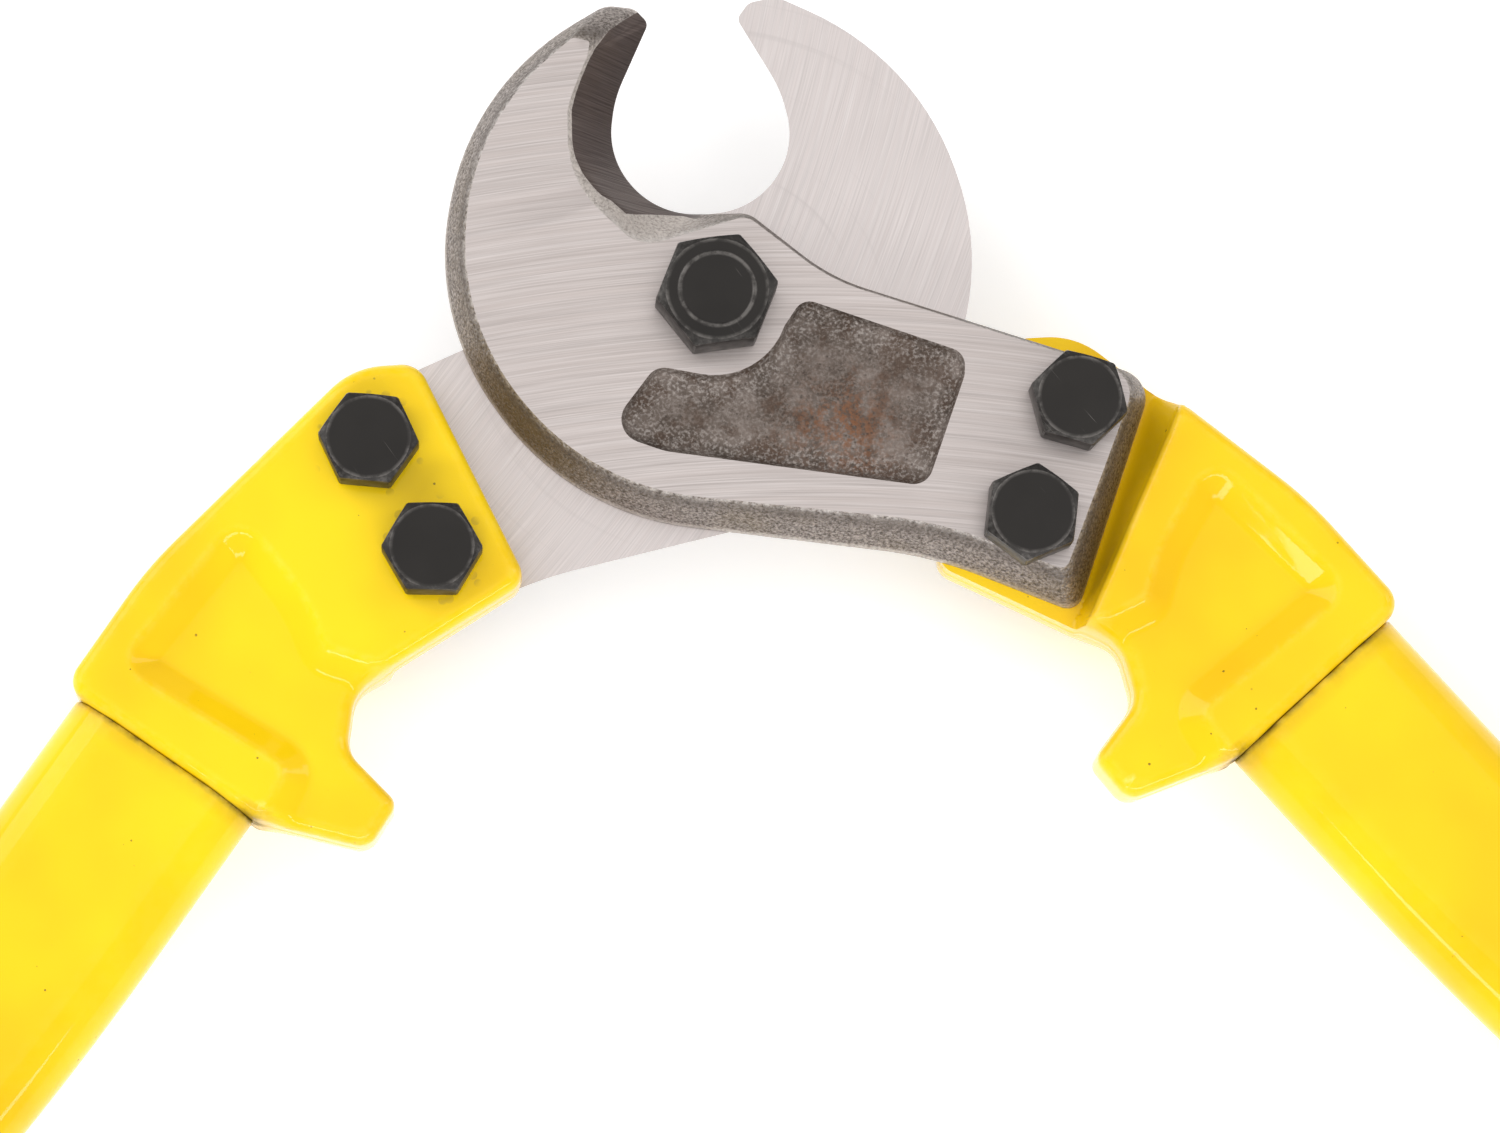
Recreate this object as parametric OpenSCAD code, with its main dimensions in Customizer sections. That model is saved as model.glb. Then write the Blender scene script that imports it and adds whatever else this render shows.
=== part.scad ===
// Bolt cutters of the curved-jaw cable pattern, 450 mm nominal length.
// The tool lies flat. +Y points to the jaw tips, +X to the right handle, +Z up
// to the bolt heads. The origin is on the pivot axis, in the plane where the two
// jaws slide on each other.
// Each half is drawn as it stands with the handles closed, then turned about the
// pivot by half of the rest angle. The left half is the right half turned over
// about the Y axis.

/* [Overall] */
// Length from the jaw tips to the handle ends with the handles closed
nominal_length = 450; // [400:5:520]
// Angle that the halves are opened by, from handles closed
rest_angle = 71; // [20:1:95]

/* [Jaws] */
// Thickness of one jaw
jaw_t = 8; // [6:0.5:9]
// Radius of the hook's back
hook_r = 42; // [41:0.5:43]
// Slope of the forged sides, measured across, at the hook's back
side_slope = 3; // [2:0.1:3.5]
// Radius of the round throat
throat_r = 12.8; // [12:0.1:13.2]
// Depth of the forged pocket in the outer face
pocket_depth = 1.6; // [0.8:0.1:3]
// Gap left for grease between the two jaws
slide_gap = 0.1; // [0.05:0.05:0.2]

/* [Heads] */
// Height of the pads, rib and collar above the middle plane
pad_h = 9; // [8.5:0.5:11]
// Height of the sunken web above the middle plane
web_h = 5.8; // [4:0.1:7]
// Width of the rounded rim round the casting
rim = 1.2; // [0.5:0.1:1.6]

/* [Handles] */
// Width of the flat-sided oval tube
tube_w = 31.6; // [30:0.1:33]
// Thickness of the tube
tube_t = 16; // [14:0.5:17]
// Wall of the tube
tube_wall = 2; // [1.5:0.1:2.5]
// Length of the grip
grip_l = 128; // [100:1:140]
// Wall of the grip
grip_wall = 3; // [2:0.1:4]
// Number of ribs round the grip
rib_count = 14; // [6:1:16]

/* [Fasteners] */
// Diameter of the pivot bolt
pivot_d = 10; // [8:1:10]
// Diameter of the four head bolts
side_d = 8; // [6:1:8]

/* [Hidden] */
$fn = 64;
e = 0.01;                       // run-through of a cut

half_rest = rest_angle / 2;
half_gap = slide_gap / 2;
corner_steps = 7;               // straight pieces in each rounded corner
arc_fill = 0.97;                // keeps arcs that follow each other just apart
paint = "gold";
steel = "silver";
black = [0.13, 0.13, 0.14];

// Hook
hook_c = [6.8, 5.6];            // centre of the hook's back
hook_from = 82;                 // where the back starts at the tip
face_from = 93;                 // the same on the outer face
hook_to = 225;                  // where it runs into the arm
hook_corners = 3;

// Throat
throat_c = [15.4, 22.9];
throat_k = throat_r * tan(22.5);

// Bolt places in the closed half, from the pivot
outer_bolt = [31.8, -46.2];
inner_bolt = [15.3, -55.0];
bolt_clear = 0.2;
pivot_clear = 0.05;
// Turn of each hexagon as it was tightened
pivot_turn = 4.7;
left_turns = [-8.7, -4];
right_turns = [40.5, 19.3];

// Fastener sizes that follow the thread
function hex_af(d) = d == 10 ? 16 : d == 9 ? 14.5 : d == 8 ? 13 : d == 7 ? 11.5 : 10;
function head_h(d) = 0.66 * d;
function nut_h(d) = 0.8 * d;
spring_h = 2;
washer_h = 1.6;
ring_h = 2.4;
side_len = 30;
pivot_len = 30;

// Handle path, from the collar to the end
tube_start = [32.8, -101.27];
start_lean = 2.8;               // outward lean where it leaves the collar
straight_1 = 26;
bend_1 = 6.2;
bend_1_r = 450;
straight_2 = 50;
bend_2 = 9.5;
bend_2_r = 240;
tang_l = 24;
tip_y = 47.4;                   // how far the closed tips reach ahead of the pivot
mid_lean = start_lean + bend_1;
end_lean = mid_lean - bend_2;
grip_end = 4;                   // thickness of the closed end of the grip
bend_steps = 8;
tube_sides = 24;

// Way the handle runs at a lean, and the step it makes over a bend from lean a to b
function ahead(a) = [sin(a), -cos(a)];
function swing(r, a, b) = (b > a ? r : -r) * [cos(a) - cos(b), sin(a) - sin(b)];

// Places where straight runs and bends meet
knee_1 = tube_start + straight_1 * ahead(start_lean);
knee_2 = knee_1 + swing(bend_1_r, start_lean, mid_lean);
knee_3 = knee_2 + straight_2 * ahead(mid_lean);
knee_4 = knee_3 + swing(bend_2_r, mid_lean, end_lean);
straight_3 = (nominal_length - tip_y + knee_4[1]) / cos(end_lean) - grip_end;
tube_end = knee_4 + straight_3 * ahead(end_lean);

// ---- Outline helpers ----

function unit(v) = v / norm(v);
function turn_of(a) = a > 180 ? a - 360 : a < -180 ? a + 360 : a;

// Points of the arc that rounds corner q, between p and s; q is [x, y, radius]
function corner_arc(p, q, s) =
    let (
        o = [q[0], q[1]],
        u = unit([p[0], p[1]] - o),
        v = unit([s[0], s[1]] - o),
        half = acos(u * v) / 2,
        c = o + unit(u + v) * q[2] / sin(half),
        a = o + u * q[2] / tan(half) - c,
        b = o + v * q[2] / tan(half) - c,
        a0 = atan2(a[1], a[0]),
        sweep = turn_of(atan2(b[1], b[0]) - a0)
    )
    [for (i = [0 : corner_steps]) c + q[2] * [cos(a0 + sweep * i / corner_steps),
                                             sin(a0 + sweep * i / corner_steps)]];

// Closed outline through rounded corners
function outline(list) =
    let (n = len(list))
    [for (i = [0 : n - 1], p = corner_arc(list[(i + n - 1) % n], list[i], list[(i + 1) % n])) p];

// Outline moved inwards by d; it runs anticlockwise
function inset(pts, d) =
    let (n = len(pts))
    [for (i = [0 : n - 1])
        let (t = unit(pts[(i + 1) % n] - pts[(i + n - 1) % n]))
        pts[i] + d * [-t[1], t[0]]];

function cross_z(o, a, b) = (a[0] - o[0]) * (b[1] - o[1]) - (a[1] - o[1]) * (b[0] - o[0]);
function covers(a, b, c, p) =
    cross_z(a, b, p) >= 0 && cross_z(b, c, p) >= 0 && cross_z(c, a, p) >= 0;

// Corner k of what is left of an outline, as a triangle of point numbers
function corner(left, k) =
    let (n = len(left)) [left[(k + n - 1) % n], left[k], left[(k + 1) % n]];

function is_ear(pts, left, t) =
    cross_z(pts[t[0]], pts[t[1]], pts[t[2]]) > 0
    && len([for (j = left)
        if (j != t[0] && j != t[1] && j != t[2]
            && covers(pts[t[0]], pts[t[1]], pts[t[2]], pts[j])) j]) == 0;

function first_ear(pts, left, k = 0) =
    k == len(left) || is_ear(pts, left, corner(left, k)) ? k : first_ear(pts, left, k + 1);

// Triangles that fill an anticlockwise outline, cut off one corner at a time
function fill(pts, left, done = []) =
    len(left) == 3 ? concat(done, [left]) :
    let (k = first_ear(pts, left))
    fill(pts, [for (i = [0 : len(left) - 1]) if (i != k) left[i]],
         concat(done, [corner(left, k)]));

// Solid skinned over a stack of outlines with equal point counts
module loft(heights, rings) {
    n = len(rings[0]);
    m = len(rings);
    last = (m - 1) * n;
    points = [for (j = [0 : m - 1], p = rings[j]) [p[0], p[1], heights[j]]];
    sides = [for (j = [0 : m - 2], i = [0 : n - 1])
        let (a = j * n + i, b = j * n + (i + 1) % n)
        each [[a, a + n, b + n], [a, b + n, b]]];
    order = [for (i = [0 : n - 1]) i];
    bottom = fill(rings[0], order);
    top = [for (t = fill(rings[m - 1], order)) [last + t[2], last + t[1], last + t[0]]];
    polyhedron(points, concat(sides, bottom, top));
}

// ---- Placing ----

module right_half() {
    rotate([0, 0, half_rest]) children();
}

module left_half() {
    rotate([0, 0, -half_rest]) rotate([0, 180, 0]) children();
}

// Places of the left bolts seen from the front, heads up
function left_place(p) = [-p[0], p[1]];

// ---- Jaw ----

// Corners that the round back of the hook hangs on
function hook_back(r, from) =
    let (step = (hook_to - from) / hook_corners)
    [for (i = [0 : hook_corners - 1])
        let (a = from + step * (i + 0.5))
        [hook_c[0] + r / cos(step / 2) * cos(a), hook_c[1] + r / cos(step / 2) * sin(a),
            r * arc_fill]];

// Outline in the sliding plane, with the cutting edge
jaw_base = concat(
    [[20.4, 43.6, 2.2], [17.3, 46.7, 4]],
    hook_back(hook_r, hook_from),
    [
        [1.6, -49.9, 60],
        [13, -70.2, 2.5],
        [44.9, -50.2, 4.5],
        [17, -7.6, 30],
        [13.6, 8, 4],
        [throat_c[0] - throat_r, throat_c[1] - throat_k - 0.8, throat_r * arc_fill],
        [throat_c[0] - throat_r, throat_c[1] + throat_k, throat_r * arc_fill],
        [9.2, 34.6, 20],
        [20.6, 40.5, 1.4]
    ]
);

// Outline of the machined outer face
jaw_face = concat(
    [[10.4, 42.3, 0.6], [8.8, 44.4, 1]],
    hook_back(hook_r - side_slope, face_from),
    [
        [4.6, -47.2, 60],
        [14.4, -64.6, 1.4],
        [41.6, -48.9, 4],
        [15.2, -8.6, 30],
        [11.7, 6.8, 3],
        [-3.8, 13, 6],
        [-5.8, 27.6, 16],
        [1.4, 36.8, 12],
        [8.8, 41, 0.8]
    ]
);

// Forged pocket beside the pivot
pocket = [
    [-25.4, -5.4, 3.6],
    [-20.6, -13.2, 12],
    [6.4, -41.8, 1.6],
    [21.6, -32.4, 2.5],
    [23.8, -29.8, 1.5],
    [10.2, -8.2, 2.5],
    [5.4, -9.7, 1.4],
    [-2.9, -14.7, 11.2],
    [-13.4, -2.4, 3]
];

// One jaw of the right half, its sliding face at the middle plane
module jaw() {
    difference() {
        loft([half_gap, jaw_t], [outline(jaw_base), outline(jaw_face)]);
        translate([0, 0, jaw_t - pocket_depth])
            linear_extrude(pocket_depth + 1) polygon(outline(pocket));
        translate([0, 0, -e]) cylinder(h = jaw_t + 1, d = pivot_d + 2 * pivot_clear);
        for (p = [outer_bolt, inner_bolt])
            translate([p[0], p[1], -e]) cylinder(h = jaw_t + 1, d = side_d + 2 * bolt_clear);
    }
}

module front_jaw() {
    color(steel) right_half() jaw();
}

module rear_jaw() {
    color(steel) left_half() jaw();
}

// ---- Head ----

head_outline = [
    [1.2, -51, 3],
    [14.2, -78.2, 6],
    [10.6, -86.2, 5],
    [0.1, -88.8, 2],
    [0.1, -96.7, 3],
    [16.6, -102.06, 2],
    [50.5, -100.4, 3.5],
    [49.7, -79, 60],
    [44, -54, 60],
    [40.2, -37.5, 12],
    [32.3, -31.8, 4]
];

// Sunken web between the bolt pad, the outer rib and the collar; it runs out
// over the lug
recess = [
    [43.2, -91.6, 2],
    [40.6, -67.8, 2],
    [28.3, -72.4, 20],
    [21.2, -77.4, 4],
    [14, -75.6, 3],
    [4, -71, 1],
    [-8, -80, 1],
    [-8, -106, 1],
    [13.2, -106, 1],
    [14.6, -91.4, 4]
];

// Side that the jaw's arm is bolted to
seat = [[-10, -83.8], [60, -47.8], [60, 0], [-10, 0]];

module head() {
    ring = outline(head_outline);
    difference() {
        union() {
            loft([-pad_h, rim - pad_h, pad_h - rim, pad_h],
                 [inset(ring, rim), ring, ring, inset(ring, rim)]);
            tang();
        }
        for (side = [0, 1]) mirror([0, 0, side])
            translate([0, 0, web_h]) linear_extrude(pad_h) polygon(outline(recess));
        translate([0, 0, half_gap]) linear_extrude(pad_h + 1) polygon(seat);
        for (p = [outer_bolt, inner_bolt])
            translate([p[0], p[1], -pad_h - 1])
                cylinder(h = pad_h + 2, d = side_d + 2 * bolt_clear);
    }
}

// Tongue of the casting that the tube is pressed over
module tang() {
    at_tube() translate([0, 3, 0]) along(tang_l + 3) oval(tube_wall);
}

module left_head() {
    color(paint) left_half() head();
}

module right_head() {
    color(paint) right_half() head();
}

// ---- Handle ----

// Flat-sided oval, made smaller all round by d
module oval(d) {
    r = tube_t / 2 - d;
    x = (tube_w - tube_t) / 2;
    square([2 * x, 2 * r], center = true);
    for (s = [-1, 1]) translate([s * x, 0]) circle(r);
}

// Solid along -Y with the 2D section's own y up
module along(l) {
    rotate([90, 0, 0]) linear_extrude(l) children();
}

module at_tube() {
    translate([tube_start[0], tube_start[1], 0]) rotate([0, 0, start_lean]) children();
}

// Last straight run, which carries the grip
module at_run_3() {
    translate([knee_4[0], knee_4[1], 0]) rotate([0, 0, end_lean]) children();
}

// Points round the oval wall, as [across, up]; k lets the facets stand outside it
function oval_ring(d, k) =
    let (r = (tube_t / 2 - d) * k, x = (tube_w - tube_t) / 2, steps = tube_sides / 2)
    [for (side = [0, 1], i = [0 : steps])
        let (a = 180 * side - 90 + 180 * i / steps)
        [(side == 0 ? x : -x) + r * cos(a), r * sin(a)]];

// The tube is swept through these stations, each [place, lean]
stations = concat(
    [[tube_start, start_lean]],
    [for (i = [0 : bend_steps])
        let (a = start_lean + bend_1 * i / bend_steps)
        [knee_1 + swing(bend_1_r, start_lean, a), a]],
    [for (i = [0 : bend_steps])
        let (a = mid_lean - bend_2 * i / bend_steps)
        [knee_3 + swing(bend_2_r, mid_lean, a), a]],
    [[tube_end, end_lean]]
);

module tube() {
    m = len(stations);
    skins = [oval_ring(0, 1), oval_ring(tube_wall, 1 / cos(180 / tube_sides))];
    n = len(skins[0]);
    inner = m * n;
    points = [for (ring = skins, s = stations, q = ring)
        [s[0][0] + q[0] * cos(s[1]), s[0][1] + q[0] * sin(s[1]), q[1]]];
    walls = [for (j = [0 : m - 2], i = [0 : n - 1])
        let (a = j * n + i, b = j * n + (i + 1) % n)
        each [[a, b, b + n], [a, b + n, a + n],
            [inner + a, inner + b + n, inner + b], [inner + a, inner + a + n, inner + b + n]]];
    last = (m - 1) * n;
    ends = [for (i = [0 : n - 1])
        let (a = i, b = (i + 1) % n)
        each [[a, inner + a, inner + b], [a, inner + b, b],
            [last + a, last + b, inner + last + b], [last + a, inner + last + b, inner + last + a]]];
    polyhedron(points, concat(walls, ends));
}

module left_tube() {
    color(paint) left_half() tube();
}

module right_tube() {
    color(paint) right_half() tube();
}

// Ribbed sleeve with a closed end and a stop flange at the front
module grip() {
    rib_pitch = (grip_l - 24) / rib_count;
    rib_h = 0.9;
    flange = 2.5;
    start = straight_3 + grip_end - grip_l;
    at_run_3() difference() {
        union() {
            translate([0, -start, 0]) along(grip_l) oval(rib_h - grip_wall);
            translate([0, -start, 0]) along(5) oval(-grip_wall - flange);
            for (i = [0 : rib_count - 1])
                translate([0, -start - 14 - i * rib_pitch, 0])
                    along(rib_pitch * 0.6) oval(-grip_wall);
        }
        translate([0, 1, 0]) along(straight_3 + 1) oval(0);
    }
}

module left_grip() {
    color(black) left_half() grip();
}

module right_grip() {
    color(black) right_half() grip();
}

// ---- Fasteners ----

// Hexagon with its top corners turned off
module hexagon(d, h) {
    af = hex_af(d);
    intersection() {
        cylinder(h = h, d = af / cos(30), $fn = 6);
        cylinder(h = h, d1 = af + 2 * h * 1.6, d2 = af * 0.95);
    }
}

// Bolt whose head stands on z = 0 and whose shank goes down
module hex_bolt(d, l) {
    hexagon(d, head_h(d));
    translate([0, 0, 0.8 - l]) cylinder(h = l - 0.8 + e, d = d);
    translate([0, 0, -l]) cylinder(h = 0.8, d1 = d - 1.6, d2 = d);
}

// Nut whose seat is on z = 0 and which goes down
module hex_nut(d, h) {
    difference() {
        mirror([0, 0, 1]) hexagon(d, h);
        translate([0, 0, -h - 1]) cylinder(h = h + 2, d = d + 0.02);
    }
}

// Split spring washer below z = 0
module spring_washer(d, turn) {
    split = 1.2;
    difference() {
        translate([0, 0, -spring_h]) cylinder(h = spring_h, d = d * 1.78);
        translate([0, 0, -spring_h - 1]) cylinder(h = spring_h + 2, d = d + 0.5);
        rotate([0, 0, turn]) translate([0, -split / 2, -spring_h - 1])
            cube([d, split, spring_h + 2]);
    }
}

module at_left(p) {
    rotate([0, 0, -half_rest]) translate(left_place(p)) rotate([0, 0, half_rest]) children();
}

module at_right(p) {
    rotate([0, 0, half_rest]) translate([p[0], p[1], 0]) rotate([0, 0, -half_rest]) children();
}

module left_bolt(p, turn) {
    color(black) at_left(p) translate([0, 0, pad_h]) rotate([0, 0, turn]) hex_bolt(side_d, side_len);
}

module right_bolt(p, turn) {
    color(black) at_right(p) translate([0, 0, jaw_t]) rotate([0, 0, turn]) hex_bolt(side_d, side_len);
}

module left_washer(p, turn) {
    color(black) at_left(p) translate([0, 0, -jaw_t]) spring_washer(side_d, turn);
}

module right_washer(p, turn) {
    color(black) at_right(p) translate([0, 0, -pad_h]) spring_washer(side_d, turn);
}

module left_nut(p, turn) {
    color(black) at_left(p) translate([0, 0, -jaw_t - spring_h]) rotate([0, 0, turn])
        hex_nut(side_d, nut_h(side_d));
}

module right_nut(p, turn) {
    color(black) at_right(p) translate([0, 0, -pad_h - spring_h]) rotate([0, 0, turn])
        hex_nut(side_d, nut_h(side_d));
}

module left_outer_bolt() { left_bolt(outer_bolt, left_turns[0]); }
module left_inner_bolt() { left_bolt(inner_bolt, left_turns[1]); }
module right_outer_bolt() { right_bolt(outer_bolt, right_turns[0]); }
module right_inner_bolt() { right_bolt(inner_bolt, right_turns[1]); }
module left_outer_washer() { left_washer(outer_bolt, 200); }
module left_inner_washer() { left_washer(inner_bolt, 75); }
module right_outer_washer() { right_washer(outer_bolt, 310); }
module right_inner_washer() { right_washer(inner_bolt, 140); }
module left_outer_nut() { left_nut(outer_bolt, 12); }
module left_inner_nut() { left_nut(inner_bolt, 41); }
module right_outer_nut() { right_nut(outer_bolt, 27); }
module right_inner_nut() { right_nut(inner_bolt, 3); }

module pivot_bolt() {
    color(black) translate([0, 0, jaw_t]) rotate([0, 0, pivot_turn]) hex_bolt(pivot_d, pivot_len);
}

module pivot_washer() {
    color(steel) translate([0, 0, -jaw_t - washer_h]) difference() {
        cylinder(h = washer_h, d = 2 * pivot_d);
        translate([0, 0, -1]) cylinder(h = washer_h + 2, d = pivot_d + 0.5);
    }
}

// Self-locking nut: a hexagon with a round crown that holds a nylon ring
module pivot_nut() {
    h = nut_h(pivot_d);
    seat_d = pivot_d + 3.4;
    color(black) translate([0, 0, -jaw_t - washer_h]) {
        hex_nut(pivot_d, h);
        translate([0, 0, -h - ring_h]) difference() {
            cylinder(h = ring_h + e, d = hex_af(pivot_d) * 0.93);
            translate([0, 0, -1]) cylinder(h = ring_h + 1, d = seat_d);
            cylinder(h = ring_h + 1, d = pivot_d + 0.02);
        }
    }
}

module pivot_nut_ring() {
    seat_d = pivot_d + 3.4;
    color("steelblue") translate([0, 0, -jaw_t - washer_h - nut_h(pivot_d) - ring_h]) difference() {
        cylinder(h = ring_h, d = seat_d);
        translate([0, 0, -1]) cylinder(h = ring_h + 2, d = pivot_d + 0.02);
    }
}

front_jaw();
rear_jaw();
pivot_bolt();
pivot_washer();
pivot_nut();
pivot_nut_ring();
left_head();
right_head();
left_outer_bolt();
left_inner_bolt();
right_outer_bolt();
right_inner_bolt();
left_outer_washer();
left_inner_washer();
right_outer_washer();
right_inner_washer();
left_outer_nut();
left_inner_nut();
right_outer_nut();
right_inner_nut();
left_tube();
right_tube();
left_grip();
right_grip();
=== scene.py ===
# Bolt cutters: hooked steel jaws, yellow cast heads and tube handles on a pale table.
# Every piece is made in millimetres as it stands with the handles closed, then turned
# out to its rest angle and scaled to metres.
import math

import bpy
import numpy as np
from mathutils import Matrix, Vector, geometry


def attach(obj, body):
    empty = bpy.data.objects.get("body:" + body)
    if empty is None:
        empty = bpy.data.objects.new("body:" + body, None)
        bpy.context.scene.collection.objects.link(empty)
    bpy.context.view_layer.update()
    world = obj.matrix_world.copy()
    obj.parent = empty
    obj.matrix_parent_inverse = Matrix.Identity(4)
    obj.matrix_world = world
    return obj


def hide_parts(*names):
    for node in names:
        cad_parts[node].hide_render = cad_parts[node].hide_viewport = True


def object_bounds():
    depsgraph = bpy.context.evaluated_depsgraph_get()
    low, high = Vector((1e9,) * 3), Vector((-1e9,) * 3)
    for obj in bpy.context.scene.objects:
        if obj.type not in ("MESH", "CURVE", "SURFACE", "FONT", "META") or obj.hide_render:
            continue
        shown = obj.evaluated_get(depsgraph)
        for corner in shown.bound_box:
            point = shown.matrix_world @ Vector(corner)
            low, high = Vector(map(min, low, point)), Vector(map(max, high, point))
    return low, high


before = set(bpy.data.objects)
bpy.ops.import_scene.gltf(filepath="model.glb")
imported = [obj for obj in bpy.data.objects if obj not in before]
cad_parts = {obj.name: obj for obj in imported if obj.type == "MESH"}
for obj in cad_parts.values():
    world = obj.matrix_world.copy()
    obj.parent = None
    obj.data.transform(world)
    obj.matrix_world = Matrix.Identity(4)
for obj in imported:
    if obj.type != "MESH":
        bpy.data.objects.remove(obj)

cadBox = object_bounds()
print("loaded the frame")

mm = 0.001
restTurn = 35.5           # each half stands this far round from handles closed
halfOf = {"right": "right_half", "left": "left_half"}


# closed loop through rounded corners; runLengths fixes how many points each run gets
def roundedOutline(corners, arcSteps=12, runLengths=None, runStep=1.2):
    n = len(corners)
    arcs = []
    for i in range(n):
        p, q, s = (np.array(corners[(i + k) % n][:2], float) for k in (-1, 0, 1))
        radius = corners[i][2]
        u = (p - q) / np.linalg.norm(p - q)
        v = (s - q) / np.linalg.norm(s - q)
        half = math.acos(max(-1, min(1, float(u @ v)))) / 2
        centre = q + (u + v) / np.linalg.norm(u + v) * radius / math.sin(half)
        a = q + u * radius / math.tan(half) - centre
        b = q + v * radius / math.tan(half) - centre
        start = math.atan2(a[1], a[0])
        sweep = (math.atan2(b[1], b[0]) - start + math.pi) % (2 * math.pi) - math.pi
        arcs.append([centre + radius * np.array([math.cos(start + sweep * k / arcSteps),
                                                 math.sin(start + sweep * k / arcSteps)])
                     for k in range(arcSteps + 1)])
    loop, runs, owner = [], [], []
    for i in range(n):
        loop += arcs[i]
        owner += [i] * len(arcs[i])
        a, b = arcs[i][-1], arcs[(i + 1) % n][0]
        steps = runLengths[i] if runLengths else max(1, int(np.linalg.norm(b - a) / runStep))
        runs.append(steps)
        for k in range(1, steps):
            loop.append(a + (b - a) * k / steps)
            owner.append(i + k / steps)
    return np.array(loop), runs, np.array(owner)


def inwardNormals(loop):
    ahead = np.roll(loop, -1, 0) - np.roll(loop, 1, 0)
    ahead /= np.linalg.norm(ahead, axis=1)[:, None]
    return np.stack([-ahead[:, 1], ahead[:, 0]], 1)


def insideLoop(points, loop):
    x, y = points[:, 0][:, None], points[:, 1][:, None]
    a, b = loop, np.roll(loop, -1, 0)
    crosses = (a[:, 1] > y) != (b[:, 1] > y)
    with np.errstate(divide="ignore", invalid="ignore"):
        at = (b[:, 0] - a[:, 0]) * (y - a[:, 1]) / (b[:, 1] - a[:, 1]) + a[:, 0]
    return (np.sum(crosses & (x < at), 1) % 2) == 1


def distanceTo(points, loop):
    a, b = loop, np.roll(loop, -1, 0)
    best = np.full(len(points), 1e9)
    for k in range(0, len(points), 4000):
        p = points[k:k + 4000, None, :]
        d = b - a
        t = np.clip(np.sum((p - a) * d, 2) / np.maximum(np.sum(d * d, 1), 1e-12), 0, 1)
        best[k:k + 4000] = np.sqrt(np.min(np.sum((p - a - t[..., None] * d) ** 2, 2), 1))
    return best


# triangles over the points that lie inside loops[0] and outside the holes
def triangulate(points, loops, holes=()):
    verts, edges = [], []
    for loop in loops:
        first = len(verts)
        verts += [Vector(p) for p in loop]
        edges += [(first + i, first + (i + 1) % len(loop)) for i in range(len(loop))]
    verts += [Vector(p) for p in points]
    out, _, tris, *_ = geometry.delaunay_2d_cdt(verts, edges, [], 0, 1e-5)
    flat = np.array([[v[0], v[1]] for v in out])
    tris = np.array([list(t) for t in tris if len(t) == 3])
    centre = flat[tris].mean(1)
    keep = insideLoop(centre, np.array(loops[0]))
    for hole in holes:
        keep &= ~insideLoop(centre, np.array(hole))
    tris = tris[keep]
    p = flat[tris]
    area = np.cross(p[:, 1] - p[:, 0], p[:, 2] - p[:, 0])
    tris[area < 0] = tris[area < 0][:, ::-1]
    return flat, tris[np.abs(area) > 1e-9]


# closed half frame in mm to the part's frame in metres
def toRest(verts, side):
    v = np.array(verts, float)
    if side == "left":
        v = v * [-1, 1, -1]
    a = math.radians(restTurn if side == "right" else -restTurn)
    x = v[:, 0] * math.cos(a) - v[:, 1] * math.sin(a)
    y = v[:, 0] * math.sin(a) + v[:, 1] * math.cos(a)
    return np.stack([x, y, v[:, 2]], 1) * mm


def addObject(name, data):
    thing = bpy.data.objects.new(name, data)
    bpy.context.collection.objects.link(thing)
    return thing


def makePiece(name, verts, faces, mats, sharpAt=35, faceMats=None):
    mesh = bpy.data.meshes.new(name)
    mesh.from_pydata([tuple(v) for v in verts], [], [tuple(int(i) for i in f) for f in faces])
    for m in mats:
        mesh.materials.append(m)
    if faceMats is not None:
        mesh.polygons.foreach_set("material_index", np.array(faceMats, np.int32))
    mesh.update()
    mesh.validate()
    mesh.shade_smooth()
    mesh.set_sharp_from_angle(angle=math.radians(sharpAt))
    return addObject(name, mesh)


def finishPiece(piece, side, slotName, *nodes):
    if nodes:
        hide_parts(*nodes)
    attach(piece, halfOf[side])


# sets an input to a value, or links it to an output
def feed(socket, value):
    if isinstance(value, bpy.types.NodeSocket):
        socket.id_data.links.new(value, socket)
    else:
        socket.default_value = (*value, 1) if socket.type == "RGBA" and len(value) == 3 else value


def addNode(tree, kind, inputs=None, **settings):
    node = tree.nodes.new(kind)
    for key, value in settings.items():
        setattr(node, key, value)
    for key, value in (inputs or {}).items():
        feed(node.inputs[key], value)
    return node


# sockets of a group as {name: value}, where a word names the kind and has no value
def addSockets(tree, way, sockets):
    for label, value in sockets.items():
        kind = {float: "Float", int: "Int", tuple: "Vector"}.get(type(value), value)
        socket = tree.interface.new_socket(label, in_out=way, socket_type="NodeSocket" + kind)
        if kind != value:
            socket.default_value = value


# shader group that works on coordinates and puts out numbers
def startGroup(name, inputs, outputs):
    tree = bpy.data.node_groups.new(name, "ShaderNodeTree")
    addSockets(tree, "INPUT", {"Coordinates": "Vector", **inputs})
    addSockets(tree, "OUTPUT", {label: "Float" for label in outputs})
    return tree, addNode(tree, "NodeGroupInput").outputs, addNode(tree, "NodeGroupOutput").inputs


def mathNode(tree, operation, a, b=0.5, clamp=False):
    node = addNode(tree, "ShaderNodeMath", {0: a, 1: b}, operation=operation, use_clamp=clamp)
    return node.outputs[0]


def product(tree, a, b, clamp=False):
    return mathNode(tree, "MULTIPLY", a, b, clamp)


def noiseNode(tree, place, scale, detail, roughness):
    return addNode(tree, "ShaderNodeTexNoise", {"Vector": place, "Scale": scale, "Detail": detail,
                                                "Roughness": roughness}).outputs["Fac"]


def spread(tree, value, low, high, least=0.0, most=1.0):
    return addNode(tree, "ShaderNodeMapRange", {"Value": value, "From Min": low, "From Max": high,
                                                "To Min": least, "To Max": most}).outputs["Result"]


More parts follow.
